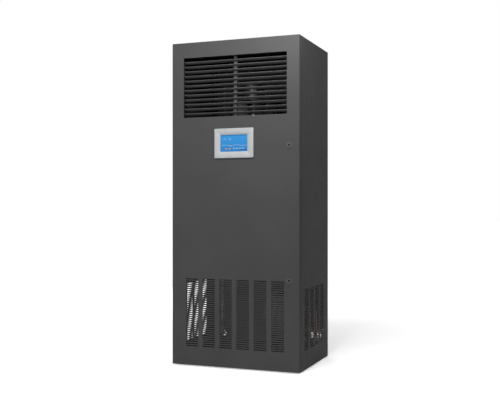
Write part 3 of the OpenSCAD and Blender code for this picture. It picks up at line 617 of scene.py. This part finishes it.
class Shells:
    """Collects closed shells and turns them into one mesh."""

    broken_edge = 0.01 * MM
    smooth_under = math.radians(35)

    def __init__(self) -> None:
        """Starts with no shells."""
        self.points: list[np.ndarray] = []
        self.faces: list[tuple[int, ...]] = []
        self.count = 0

    def _take(self, points: np.ndarray) -> int:
        """Stores points and returns the number of the first one."""
        start = self.count
        self.points.append(points.reshape(-1, 3))
        self.count += self.points[-1].shape[0]
        return start

    def grid(self, points: np.ndarray, wrap_rows: bool = False, caps: bool = True) -> None:
        """Adds a grid whose columns close on themselves.

        Args:
            points: array of shape (rows, columns, 3).
            wrap_rows: whether the last row joins the first.
            caps: whether open ends get a flat face.
        """
        rows, columns = points.shape[:2]
        start = self._take(points)
        row = np.arange(rows if wrap_rows else rows - 1)[:, None]
        column = np.arange(columns)[None, :]
        here = start + row * columns + column
        right = start + row * columns + (column + 1) % columns
        below = start + ((row + 1) % rows) * columns + column
        across = start + ((row + 1) % rows) * columns + (column + 1) % columns
        quads = np.stack([here, right, across, below], axis=-1).reshape(-1, 4)
        self.faces += [tuple(q) for q in quads.tolist()]
        if caps and not wrap_rows:
            first = start + np.arange(columns)[::-1]
            last = start + (rows - 1) * columns + np.arange(columns)
            self.faces += [tuple(first.tolist()), tuple(last.tolist())]

    def plate(self, outline: np.ndarray, front: float, back: float) -> None:
        """Adds a flat plate that faces -Y.

        Args:
            outline: (x, z) points, of shape (n, 2).
            front: y of its face.
            back: y of its back.
        """
        flat = outline[:, None]
        depth = np.array([front, back])[None, :, None]
        x = np.broadcast_to(flat[..., :1], (len(outline), 2, 1))
        z = np.broadcast_to(flat[..., 1:], (len(outline), 2, 1))
        grid = np.concatenate([x, np.broadcast_to(depth, x.shape), z], axis=-1)
        self.grid(grid.transpose(1, 0, 2))

    def bar(self, low: Sequence[float], high: Sequence[float]) -> None:
        """Adds a block whose upright edges are broken very slightly.

        Args:
            low: lowest corner.
            high: highest corner.
        """
        low, high = np.asarray(low, float), np.asarray(high, float)
        size, middle = high - low, (high + low) / 2
        outline = rounded_rectangle(size[0], size[1], self.broken_edge, 1)
        ring = np.concatenate([outline + middle[:2], np.zeros((len(outline), 1))], axis=1)
        grid = np.stack([ring + [0, 0, low[2]], ring + [0, 0, high[2]]])
        self.grid(grid)

    def turned(
        self,
        profile: Sequence[Sequence[float]],
        places: np.ndarray,
        axis: Sequence[float],
        sides: int = 12,
    ) -> None:
        """Adds the same turned shape at many places.

        Each ring is the place, plus the axis times the profile's second number, plus
        the first number times a circle across the axis.

        Args:
            profile: (radius, height) pairs along the axis.
            places: base points, of shape (n, 3).
            axis: direction of the shape's axis.
            sides: points in a ring.
        """
        axis = np.asarray(axis, float)
        side = np.cross(axis, [0.0, 0.0, 1.0] if abs(axis[2]) < 0.9 else [1.0, 0.0, 0.0])
        up = np.cross(side, axis)
        angle = np.linspace(0.0, 2 * math.pi, sides, endpoint=False)[None, :, None]
        circle = np.cos(angle) * side + np.sin(angle) * up
        shape = np.asarray(profile, float)
        rings = circle * shape[:, :1, None] + axis * shape[:, 1:, None]
        for place in np.atleast_2d(places):
            self.grid(rings + place)

    def build(
        self,
        name: str,
        finish: str,
        body: Body,
        slot: str,
        smooth: bool = True,
        replaces: Sequence[str] = (),
    ) -> None:
        """Makes the mesh object, dresses it and puts it on its body.

        Args:
            name: the piece's name.
            finish: key of the finish.
            body: the body it rides on.
            slot: the record's material slot; not used.
            smooth: whether faces shade smoothly across blunt edges.
            replaces: CAD nodes that it stands for.
        """
        mesh = bpy.data.meshes.new(name)
        mesh.from_pydata(np.vstack(self.points).tolist(), [], self.faces)
        mesh.update()
        mesh.validate()
        face_outwards(mesh)
        piece = bpy.data.objects.new(name, mesh)
        bpy.context.scene.collection.objects.link(piece)
        piece.data.materials.append(material(finish))
        if smooth:
            mesh.shade_smooth()
            mesh.set_sharp_from_angle(angle=self.smooth_under)
        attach(piece, body.value)
        if replaces:
            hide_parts(*replaces)
        LOG.info("%s: %d faces on %s", name, len(mesh.polygons), body.value)


def face_outwards(mesh: bpy.types.Mesh) -> None:
    """Turns each shell's faces outwards."""
    work = bmesh.new()
    work.from_mesh(mesh)
    bmesh.ops.recalc_face_normals(work, faces=work.faces)
    work.to_mesh(mesh)
    work.free()


_made: dict[str, bpy.types.Material] = {}


def material(finish: str) -> bpy.types.Material:
    """The material of a finish, made once."""
    if finish not in _made:
        _made[finish] = FINISHES[finish].build()
    return _made[finish]


# ------------------------------------------------------------------ sub-assemblies


@dataclass
class Paintwork:
    """Puts a finish on every CAD node that stays in view."""

    by_node: dict[str, str] = field(
        default_factory=lambda: {
            "grille_mullion": "blade_paint",
            "grille_frame": "grille_black",
            "display_screen": "lit_screen",
            # Fan motor, impeller and bracket get black finishes: partly their own colour, partly
            # painted shade for the dark space behind the grille.
            "fan_motor": "black_paint",
            "lock_core_upper": "grille_black",
            "lock_core_lower": "grille_black",
            "fan_impeller": "composite",
            "fan_bracket": "black_paint",
        }
    )

    def finish_of(self, name: str, slot: str) -> str:
        """The finish of a node, from its own name or from its slot."""
        if name.startswith("blade_"):
            return "blade_paint"
        return self.by_node.get(name, slot)

    def build(self) -> None:
        """Dresses every node."""
        for part in frame["record"]["subparts"]:
            node = frame["nodes"][part["node"]]
            node.data.materials.clear()
            node.data.materials.append(
                material(self.finish_of(part["node"], part["material_slot"]))
            )
        LOG.info("paintwork: %d nodes", len(frame["nodes"]))


@dataclass
class Display:
    """Touch display in the door: moulded bezel and the picture on its glass."""

    proud: float = 6 * MM
    rim: float = 2.2 * MM
    digit_h: float = 11 * MM
    film: float = 0.25 * MM
    corners: tuple[float, float] = (5 * MM, 1.5 * MM)
    # The black seal under the bezel shows a thin rim past it, which is painted shadow round the
    # bezel.
    seal_and_shadow_edge: float = 1.3 * MM
    seal_and_shadow_t: float = 1 * MM

    def __post_init__(self) -> None:
        """Reads the display's place and size from the frame."""
        low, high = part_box("display_bezel")
        self.size = (high.x - low.x, high.z - low.z)
        self.centre = ((low.x + high.x) / 2, (low.z + high.z) / 2)
        self.face = high.y
        low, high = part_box("display_screen")
        self.glass = (high.x - low.x, high.z - low.z)
        self.glass_y = low.y

    def bezel(self) -> None:
        """Makes the bezel: one profile carried round the picture.

        The profile rises from the door, rolls over a quarter round of the rim's
        radius, steps down into a shadow line, runs flat to the picture and falls to
        the glass in a slope.
        """
        reach = (self.size[0] - self.glass[0]) / 2
        front = self.face - self.proud
        roll = np.linspace(0.0, math.pi / 2, 6)
        wall = np.stack(
            [self.rim * (1 - np.cos(roll)), front + self.rim * (1 - np.sin(roll))], axis=1
        )
        inwards = np.array(
            [
                [self.rim + 2.4 * MM, front],
                [self.rim + 2.9 * MM, front + 0.6 * MM],
                [self.rim + 4.0 * MM, front + 0.6 * MM],
                [self.rim + 4.5 * MM, front + 0.2 * MM],
                [reach - 6.0 * MM, front + 0.2 * MM],
                [reach - 5.4 * MM, front + 0.5 * MM],
                [reach - 0.4 * MM, self.glass_y - 0.1 * MM],
                [reach - 0.1 * MM, self.face],
            ]
        )
        profile = np.vstack([[[0.0, self.face]], wall, inwards])
        profile[:, 0] /= reach
        shells = Shells()
        shells.grid(
            ring_grid(profile, self.size, self.glass, self.corners, self.centre),
            wrap_rows=True,
        )
        shells.build(
            "bezel_moulding", "bezel_plastic", Body.DOOR, "grey_plastic", replaces=["display_bezel"]
        )

    def tile(self, x: float, z: float, width: float, height: float) -> np.ndarray:
        """Outline of a tile whose middle is at x, z from the display's middle."""
        outline = rounded_rectangle(width, height, min(width, height) * 0.2, 2)
        return outline + [self.centre[0] + x, self.centre[1] + z]

    def disc(self, x: float, z: float, radius: float) -> np.ndarray:
        """Outline of a round mark at x, z from the display's middle."""
        angle = np.linspace(0, 2 * math.pi, 24, endpoint=False)
        circle = np.stack([np.cos(angle), np.sin(angle)], axis=1)
        return radius * circle + [self.centre[0] + x, self.centre[1] + z]

    def digit(self, number: int, x: float, z: float) -> list[np.ndarray]:
        """Outlines of the lit bars of one seven-bar figure.

        Args:
            number: the figure, 0 to 9.
            x: its middle across.
            z: its middle up.

        Returns:
            One outline for each lit bar.
        """
        tall, wide, bar = self.digit_h, self.digit_h * 0.55, self.digit_h * 0.13
        places = {
            "a": (0, tall / 2, wide, bar),
            "b": (wide / 2, tall / 4, bar, tall / 2),
            "c": (wide / 2, -tall / 4, bar, tall / 2),
            "d": (0, -tall / 2, wide, bar),
            "e": (-wide / 2, -tall / 4, bar, tall / 2),
            "f": (-wide / 2, tall / 4, bar, tall / 2),
            "g": (0, 0, wide, bar),
        }
        bars = "abcdef bc abged abgcd fgbc afgcd afgecd abc abcdefg abfgcd".split()[number]
        return [
            self.tile(x + places[b][0], z + places[b][1], places[b][2] * 0.9, places[b][3] * 0.9)
            for b in bars
        ]

    def film_of(self, name: str, finish: str, outlines: Sequence[np.ndarray], lift: float) -> None:
        """Makes one layer of the picture from outlines.

        Args:
            name: the piece's name.
            finish: key of its finish.
            outlines: the outlines in it.
            lift: how far it stands on the glass.
        """
        shells = Shells()
        for outline in outlines:
            shells.plate(outline, self.glass_y - lift, self.glass_y)
        shells.build(name, finish, Body.DOOR, "display_glass", smooth=False)

    def seal(self) -> None:
        """Makes the thin seal that the bezel is pressed on: a black plate just wider than the
        bezel, whose showing rim is a painted shadow line round the bezel's edges.
        """
        width, height = (side + 2 * self.seal_and_shadow_edge for side in self.size)
        outline = rounded_rectangle(width, height, 3 * MM, 4)
        shells = Shells()
        # The rim of this plate that shows past the bezel is a painted shadow line.
        shells.plate(outline + self.centre, self.face - self.seal_and_shadow_t, self.face)
        shells.build("bezel_seal_and_shadow", "seal_rubber", Body.DOOR, "seal_rubber", smooth=False)

    def picture(self) -> None:
        """Makes the generic picture: readings, a trend line, keys and status marks.

        The trend line is a sum of two sine waves along the glass, given a width.
        """
        across = np.linspace(-74, 74, 61) * MM
        wave = (-12 + 2.4 * np.sin(across * 95) + 1.2 * np.sin(across * 231 + 1)) * MM
        line = np.stack([across, wave], axis=1) + self.centre
        trend = np.vstack([line + [0, 1.1 * MM], (line - [0, 1.1 * MM])[::-1]])
        figures = [
            bar
            for number, x in ((2, -58), (4, -49), (5, -28), (0, -19))
            for bar in self.digit(number, x * MM, 22 * MM)
        ]
        keys = [self.tile((2 + 17 * i) * MM, -29 * MM, 11 * MM, 5 * MM) for i in range(4)]
        lamps = [self.disc(x * MM, -31 * MM, 4.5 * MM) for x in (-45, -25)]
        panels = [
            self.tile(0, 42 * MM, 154 * MM, 5 * MM),
            self.tile(54 * MM, -37 * MM, 46 * MM, 6 * MM),
        ]
        self.film_of("picture_panels", "lit_deep", panels, self.film / 2)
        self.film_of("picture_readings", "lit_pale", [trend, *figures, *keys], self.film)
        self.film_of(
            "picture_lamps",
            "lit_warm",
            [*lamps, self.tile(-16 * MM, -16 * MM, 8 * MM, 5 * MM)],
            self.film,
        )

    def build(self) -> None:
        """Makes the whole display."""
        self.bezel()
        # The seal also paints the shadow line round the bezel.
        self.seal()
        self.picture()


@dataclass
class DoorSeal:
    """Bulb seal round the back of the door."""

    foot_t: float = 1.2 * MM
    bulb_share: float = 0.3
    band: float = 16 * MM
    corners: tuple[float, float] = (18 * MM, 4 * MM)

    def build(self) -> None:
        """Makes the seal: a flat foot with a half-round bulb, carried round the door.

        The bulb's point at angle a stands at s = 0.5 + share * cos(a) across the band
        and at the foot plus the rest of the depth times sin(a).
        """
        low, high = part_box("door_gasket")
        outer = (high.x - low.x, high.z - low.z)
        inner = (outer[0] - 2 * self.band, outer[1] - 2 * self.band)
        centre = ((low.x + high.x) / 2, (low.z + high.z) / 2)
        angle = np.linspace(0.0, math.pi, 12)
        top = low.y + self.foot_t
        bulb = np.stack(
            [0.5 - self.bulb_share * np.cos(angle), top + (high.y - top) * np.sin(angle)], axis=1
        )
        profile = np.vstack([[[1.0, top], [1.0, low.y], [0.0, low.y], [0.0, top]], bulb])
        shells = Shells()
        shells.grid(ring_grid(profile, outer, inner, self.corners, centre), wrap_rows=True)
        shells.build("bulb_seal", "seal_rubber", Body.DOOR, "seal_rubber", replaces=["door_gasket"])


@dataclass
class FinPack:
    """Thin fins of the coil, with waved edges, on its slope across the cabinet."""

    foot: tuple[float, float] = (235.5 * MM, 628 * MM)
    slope: float = 62.0
    length: float = 560 * MM
    depth: float = 66 * MM
    pitch: float = 3 * MM
    thickness: float = 0.4 * MM
    wave: float = 0.8 * MM
    waves: int = 12

    def build(self) -> None:
        """Makes the fins.

        A fin's edge stands at the depth plus the wave times the sine of the way up the
        slope, less one. The outline is turned by the slope and repeated across the coil.
        """
        low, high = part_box("coil_fins")
        way = np.linspace(0.0, 1.0, 25)
        ripple = self.wave * (np.sin(way * 2 * math.pi * self.waves) - 1)
        front = np.stack([way * self.length, self.depth + ripple], axis=1)
        back = np.stack([way[::-1] * self.length, -ripple], axis=1)
        up, out = np.vstack([front, back]).T
        angle = math.radians(self.slope)
        y = self.foot[0] - up * math.cos(angle) - out * math.sin(angle)
        z = self.foot[1] + up * math.sin(angle) - out * math.cos(angle)
        shells = Shells()
        for x in np.arange(low.x + self.thickness, high.x - self.thickness, self.pitch):
            sides = [np.full_like(y, x), np.full_like(y, x + self.thickness)]
            shells.grid(np.stack([np.stack([side, y, z], axis=1) for side in sides]))
        shells.build(
            "fin_pack", "aluminium", Body.CABINET, "aluminium", smooth=False, replaces=["coil_fins"]
        )


@dataclass
class PipeFoam:
    """Foam sleeve on the cold suction line, below the filter rails."""

    radius: float = 16 * MM
    line_x: float = 338 * MM
    line_y: float = 184 * MM
    top: float = 500 * MM
    level: float = 300 * MM
    end_gap: float = 12 * MM
    reach: float = 22 * MM
    swelling: float = 0.04
    joints: float = 4.5

    def build(self) -> None:
        """Makes the sleeve: rings round a path with bends.

        The radius swells with the sine of the way along, once at each glued joint.
        """
        low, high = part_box("compressor")
        middle = (low.y + high.y) / 2
        path = cornered_path(
            [
                (self.line_x, self.line_y, self.top),
                (self.line_x, self.line_y, self.level),
                (self.line_x, middle, self.level),
                (high.x + self.end_gap, middle, self.level),
            ],
            self.reach,
        )
        turns = np.linspace(0, 2 * math.pi * self.joints, len(path))
        swell = 1 + self.swelling * np.sin(turns)
        shells = Shells()
        shells.grid(tube_grid(path, self.radius * swell, 20))
        shells.build("suction_foam", "foam", Body.CABINET, "seal_rubber")


@dataclass(frozen=True)
class WireRow:
    """One row of wires, in millimetres.

    The terminals start at first and repeat by each (pitch, count) of steps. They stand
    forward of the rail at a level, and their duct lies a rise away.
    """

    name: str
    finish: str
    first: float
    steps: tuple[tuple[float, int], ...]
    forward: float
    level: float
    rise: float

    def across(self) -> np.ndarray:
        """Where the terminals are across the cabinet."""
        places = np.array([self.first], float)
        for pitch, count in self.steps:
            places = (places[:, None] + pitch * np.arange(count)).ravel()
        return places * MM


@dataclass
class Wiring:
    """Slotted ducts in the control box, and the short wires that drop into them."""

    levels: tuple[float, ...] = (945 * MM, 1128 * MM, 1290 * MM)
    half_width: float = 300 * MM
    half_height: float = 18 * MM
    depth: float = 42 * MM
    floor_t: float = 1.5 * MM
    lid_t: float = 1.2 * MM
    finger: float = 6 * MM
    finger_t: float = 1.4 * MM
    gap: float = 11 * MM
    sheet_t: float = 1.6 * MM
    rail_t: float = 7.5 * MM
    wire_r: float = 1.4 * MM
    rows: tuple[WireRow, ...] = (
        WireRow("wires_brown", "wire_brown", -262, ((52, 5), (14, 3)), 30, 1100, 12),
        WireRow("wires_blue", "wire_blue", 44, ((9, 14),), 24, 1086, 26),
        WireRow("wires_black", "black_plastic", -101, ((19, 6),), 30, 1166, -22),
    )

    def __post_init__(self) -> None:
        """Reads the box's back wall from the frame."""
        self.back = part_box("control_box")[1].y - self.sheet_t

    def ducts(self) -> None:
        """Makes the ducts: a floor strip, two combs of fingers and a lid in front."""
        shells = Shells()
        left, right = -self.half_width, self.half_width
        floor, front = self.back - self.floor_t, self.back - self.depth
        for level in self.levels:
            under, over = level - self.half_height, level + self.half_height
            shells.bar((left, floor, under), (right, self.back, over))
            shells.bar((left, front - self.lid_t, under), (right, front, over))
            for x in np.arange(left, right - self.finger, self.gap):
                for edge in (under, over - self.finger_t):
                    shells.bar((x, front, edge), (x + self.finger, floor, edge + self.finger_t))
        shells.build("wire_ducts", "duct_grey", Body.CABINET, "grey_plastic", smooth=False)

    def wires(self, row: WireRow) -> None:
        """Makes a row of short wires.

        Each wire leaves its terminal, bows forward, and turns back into the duct: a
        curve through four points, at none, 0.35, 0.75 and all of the rise.

        Args:
            row: the row to make.
        """
        shells = Shells()
        bow = np.array([(0, 0, 0), (0, -3, 0.35), (1, 2, 0.75), (1, 8, 1)]) * [1, 1, row.rise]
        start = [0, self.back - self.rail_t - row.forward * MM, row.level * MM]
        path = smooth_path(bow * MM + start, 3)
        for x in row.across():
            shells.grid(tube_grid(path + [x, 0, 0], self.wire_r, 6))
        shells.build(row.name, row.finish, Body.CABINET, "black_plastic")

    def build(self) -> None:
        """Makes the ducts and the rows of wires."""
        self.ducts()
        for row in self.rows:
            self.wires(row)


@dataclass
class Fasteners:
    """Screw and bolt heads that the solids leave out.

    The two profiles are (radius, height) pairs from the middle of a head's base, which
    is sunk a little, over its flange and crown.
    """

    screw: tuple[tuple[float, float], ...] = (
        (0.0001, -0.0002),
        (0.0036, -0.0002),
        (0.0036, 0.0006),
        (0.0030, 0.0016),
        (0.0016, 0.0020),
        (0.0001, 0.0021),
    )
    bolt: tuple[tuple[float, float], ...] = (
        (0.0001, -0.0002),
        (0.0075, -0.0002),
        (0.0075, 0.0012),
        (0.0052, 0.0013),
        (0.0052, 0.0048),
        (0.0046, 0.0053),
        (0.0001, 0.0053),
    )
    lip_x: float = 340 * MM
    lip_levels: tuple[float, ...] = (590 * MM, 690 * MM, 790 * MM, 880 * MM)
    ear_x: float = 326 * MM
    ear_levels: tuple[float, ...] = (930 * MM, 1112 * MM, 1294 * MM)
    plate_ring: float = 52 * MM
    feet_ring: float = 201 * MM
    foot_t: float = 3 * MM

    def heads(
        self,
        name: str,
        profile: Sequence[Sequence[float]],
        places: Sequence[Sequence[float]],
        axis: Sequence[float],
        sides: int,
    ) -> None:
        """Makes one group of heads.

        Args:
            name: the piece's name.
            profile: the head's profile.
            places: middles of the heads' bases.
            axis: direction that the heads face.
            sides: flats of a head, or 12 for a round one.
        """
        shells = Shells()
        shells.turned(profile, np.asarray(places, float), axis, sides)
        shells.build(name, "dark_zinc", Body.CABINET, "zinc", smooth=sides > 6)

    def circle(
        self, centre: Sequence[float], radius: float, first: float, level: float
    ) -> np.ndarray:
        """Four places on a level circle.

        Args:
            centre: x and y of its middle.
            radius: its radius.
            first: bearing of the first place, in degrees.
            level: its height.

        Returns:
            Places of shape (4, 3).
        """
        turn = np.radians([first, first + 90, first + 180, first + 270])
        flat = radius * np.stack([np.cos(turn), np.sin(turn)], axis=1) + centre
        return np.concatenate([flat, np.full((4, 1), level)], axis=1)

    def build(self) -> None:
        """Makes the groups on the posts, the control box and the fan bracket."""
        groups = (
            ("screws_lip", "frame_posts", self.lip_x, self.lip_levels),
            ("screws_ear", "control_box", self.ear_x, self.ear_levels),
        )
        for name, node, x, levels in groups:
            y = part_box(node)[0].y
            places = [(side * x, y, z) for side in (-1, 1) for z in levels]
            self.heads(name, self.screw, places, (0, -1, 0), 12)
        low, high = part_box("fan_bracket")
        centre = ((low.x + high.x) / 2, (low.y + high.y) / 2)
        plate = self.circle(centre, self.plate_ring, 0, high.z)
        feet = self.circle(centre, self.feet_ring, 45, low.z + self.foot_t)
        self.heads("bolts_motor", self.bolt, plate, (0, 0, 1), 6)
        self.heads("bolts_feet", self.bolt, feet, (0, 0, 1), 6)


@dataclass
class BalanceClips:
    """Sprung clips pushed on the shroud's rim to balance the fan wheel."""

    bearings: tuple[float, ...] = (-71.0, -118.5, 62.0)
    width: float = 16 * MM
    height: float = 16 * MM
    lift: float = 25 * MM
    gap: float = 0.1 * MM
    thickness: float = 1 * MM

    def build(self) -> None:
        """Makes the clips: an arc of the rim's circle, given a height and a thickness."""
        low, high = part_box("fan_impeller")
        centre = ((low.x + high.x) / 2, (low.y + high.y) / 2)
        radius = (high.x - low.x) / 2
        base = low.z + self.lift
        shells = Shells()
        for bearing in self.bearings:
            spread = np.linspace(-0.5, 0.5, 5) * self.width / radius + math.radians(bearing)
            inner = radius + self.gap
            outer = inner + self.thickness
            ring = np.concatenate(
                [
                    np.stack([outer * np.cos(spread), outer * np.sin(spread)], axis=1),
                    np.stack([inner * np.cos(spread), inner * np.sin(spread)], axis=1)[::-1],
                ]
            )
            ring = np.concatenate([ring + centre, np.full((len(ring), 1), base)], axis=1)
            shells.grid(np.stack([ring, ring + [0, 0, self.height]]))
        shells.build("balance_clips", "zinc", Body.IMPELLER, "zinc")


# ------------------------------------------------------------------ studio


@dataclass(frozen=True)
class Softbox:
    """A square lamp: its place, the point it faces, its side and its power in watts."""

    name: str
    place: tuple[float, float, float]
    aim: tuple[float, float, float]
    size: float
    power: float

    def build(self) -> None:
        """Hangs the lamp."""
        data = bpy.data.lights.new(self.name, "AREA")
        data.size, data.energy = self.size, self.power
        lamp = bpy.data.objects.new(self.name, data)
        lamp.location = self.place
        towards = Vector(self.aim) - Vector(self.place)
        lamp.rotation_euler = towards.to_track_quat("-Z", "Y").to_euler()
        bpy.context.scene.collection.objects.link(lamp)


@dataclass
class Studio:
    """Floor, light and camera."""

    eye: tuple[float, float, float] = (1.68306, -4.40968, 0.89464)
    turn: float = 21.036
    lens: float = 58.694
    shift: float = 0.01206
    reach: float = 40.0
    ambient: float = 0.13
    floor_glow: tuple[float, float] = (0.47, 0.9)
    glow_reach: tuple[float, float] = (1.0, 6.0)
    lamps: tuple[Softbox, ...] = (
        Softbox("front", (-0.7, -5.2, 2.7), (0.0, -0.28, 0.9), 2.6, 116.0),
        Softbox("high", (0.1, -2.3, 4.4), (0.0, -0.28, 0.5), 1.2, 84.0),
        Softbox("crown", (0.55, -0.78, 2.28), (0.30, -0.28, 1.75), 0.5, 16.0),
        Softbox("back", (-1.9, 3.4, 2.2), (0.0, 0.0, 1.0), 2.2, 60.0),
    )

    def camera(self) -> None:
        """Sets the camera, level and turned about the vertical."""
        data = bpy.data.cameras.new("camera")
        data.lens, data.sensor_width, data.shift_y = self.lens, 36.0, self.shift
        eye = bpy.data.objects.new("camera", data)
        eye.location = self.eye
        eye.rotation_euler = (math.radians(90), 0.0, math.radians(self.turn))
        bpy.context.scene.collection.objects.link(eye)
        bpy.context.scene.camera = eye

    def joined(
        self,
        tree: bpy.types.NodeTree,
        operation: str,
        first: bpy.types.NodeSocket,
        second: bpy.types.NodeSocket,
    ) -> bpy.types.NodeSocket:
        """Two values joined by one step of arithmetic."""
        node = tree.nodes.new("ShaderNodeMath")
        node.operation = operation
        tree.links.new(first, node.inputs[0])
        tree.links.new(second, node.inputs[1])
        return node.outputs["Value"]

    def seen_white(self, tree: bpy.types.NodeTree) -> bpy.types.NodeSocket:
        """One for camera, glossy and transmission rays, else nothing.

        Args:
            tree: the node tree to add to.

        Returns:
            The socket with the value.
        """
        path = tree.nodes.new("ShaderNodeLightPath")
        total = path.outputs["Is Camera Ray"]
        for ray in ("Is Glossy Ray", "Is Transmission Ray"):
            total = self.joined(tree, "MAXIMUM", total, path.outputs[ray])
        return total

    def world(self) -> None:
        """Makes the world: white where it is seen, and a dim even light otherwise."""
        world = bpy.data.worlds.new("studio")
        world.use_nodes = True
        tree = world.node_tree
        sky = tree.nodes["Background"]
        sky.inputs["Color"].default_value = (1.0, 1.0, 1.0, 1.0)
        level = tree.nodes.new("ShaderNodeMapRange")
        level.inputs["To Min"].default_value = self.ambient
        level.inputs["To Max"].default_value = 1.0
        tree.links.new(self.seen_white(tree), level.inputs["Value"])
        tree.links.new(level.outputs["Result"], sky.inputs["Strength"])
        bpy.context.scene.world = world

    def floor(self) -> None:
        """Makes the floor: a pale disc that keeps the shadow and fades to white."""
        angle = np.linspace(0, 2 * math.pi, 64, endpoint=False)
        rim = np.stack([np.cos(angle), np.sin(angle), np.zeros(64)], axis=1) * self.reach
        mesh = bpy.data.meshes.new("floor")
        mesh.from_pydata(rim.tolist(), [], [tuple(range(64))])
        disc = bpy.data.objects.new("floor", mesh)
        bpy.context.scene.collection.objects.link(disc)
        recipe = Recipe("floor")
        recipe.tint(recipe.noise(60.0, 3.0), (0.3, (0.80,) * 3), (0.7, (0.83,) * 3))
        recipe.surface(Roughness=0.9, Specular_IOR_Level=0.1, Emission_Color=(1.0, 1.0, 1.0))
        distance = recipe.nodes.new("ShaderNodeVectorMath")
        distance.operation = "LENGTH"
        recipe.join(recipe.coords, distance.inputs[0])
        glow = recipe.spread(distance.outputs["Value"], *self.floor_glow, self.glow_reach)
        tree = recipe.material.node_tree
        level = self.joined(tree, "MULTIPLY", glow, self.seen_white(tree))
        recipe.join(level, recipe.shader.inputs["Emission Strength"])
        mesh.materials.append(recipe.material)

    def build(self) -> None:
        """Sets up the whole studio."""
        bpy.context.scene.view_settings.view_transform = "Standard"
        self.floor()
        self.world()
        self.camera()
        for lamp in self.lamps:
            lamp.build()


def main() -> None:
    """Builds every sub-assembly in order."""
    logging.basicConfig(level=logging.INFO, format="%(message)s")
    assemblies = (
        Paintwork(),
        Display(),
        DoorSeal(),
        FinPack(),
        PipeFoam(),
        Wiring(),
        Fasteners(),
        BalanceClips(),
        Studio(),
    )
    for assembly in assemblies:
        assembly.build()
        LOG.info("built %s", type(assembly).__name__)


if __name__ == "__main__":
    main()
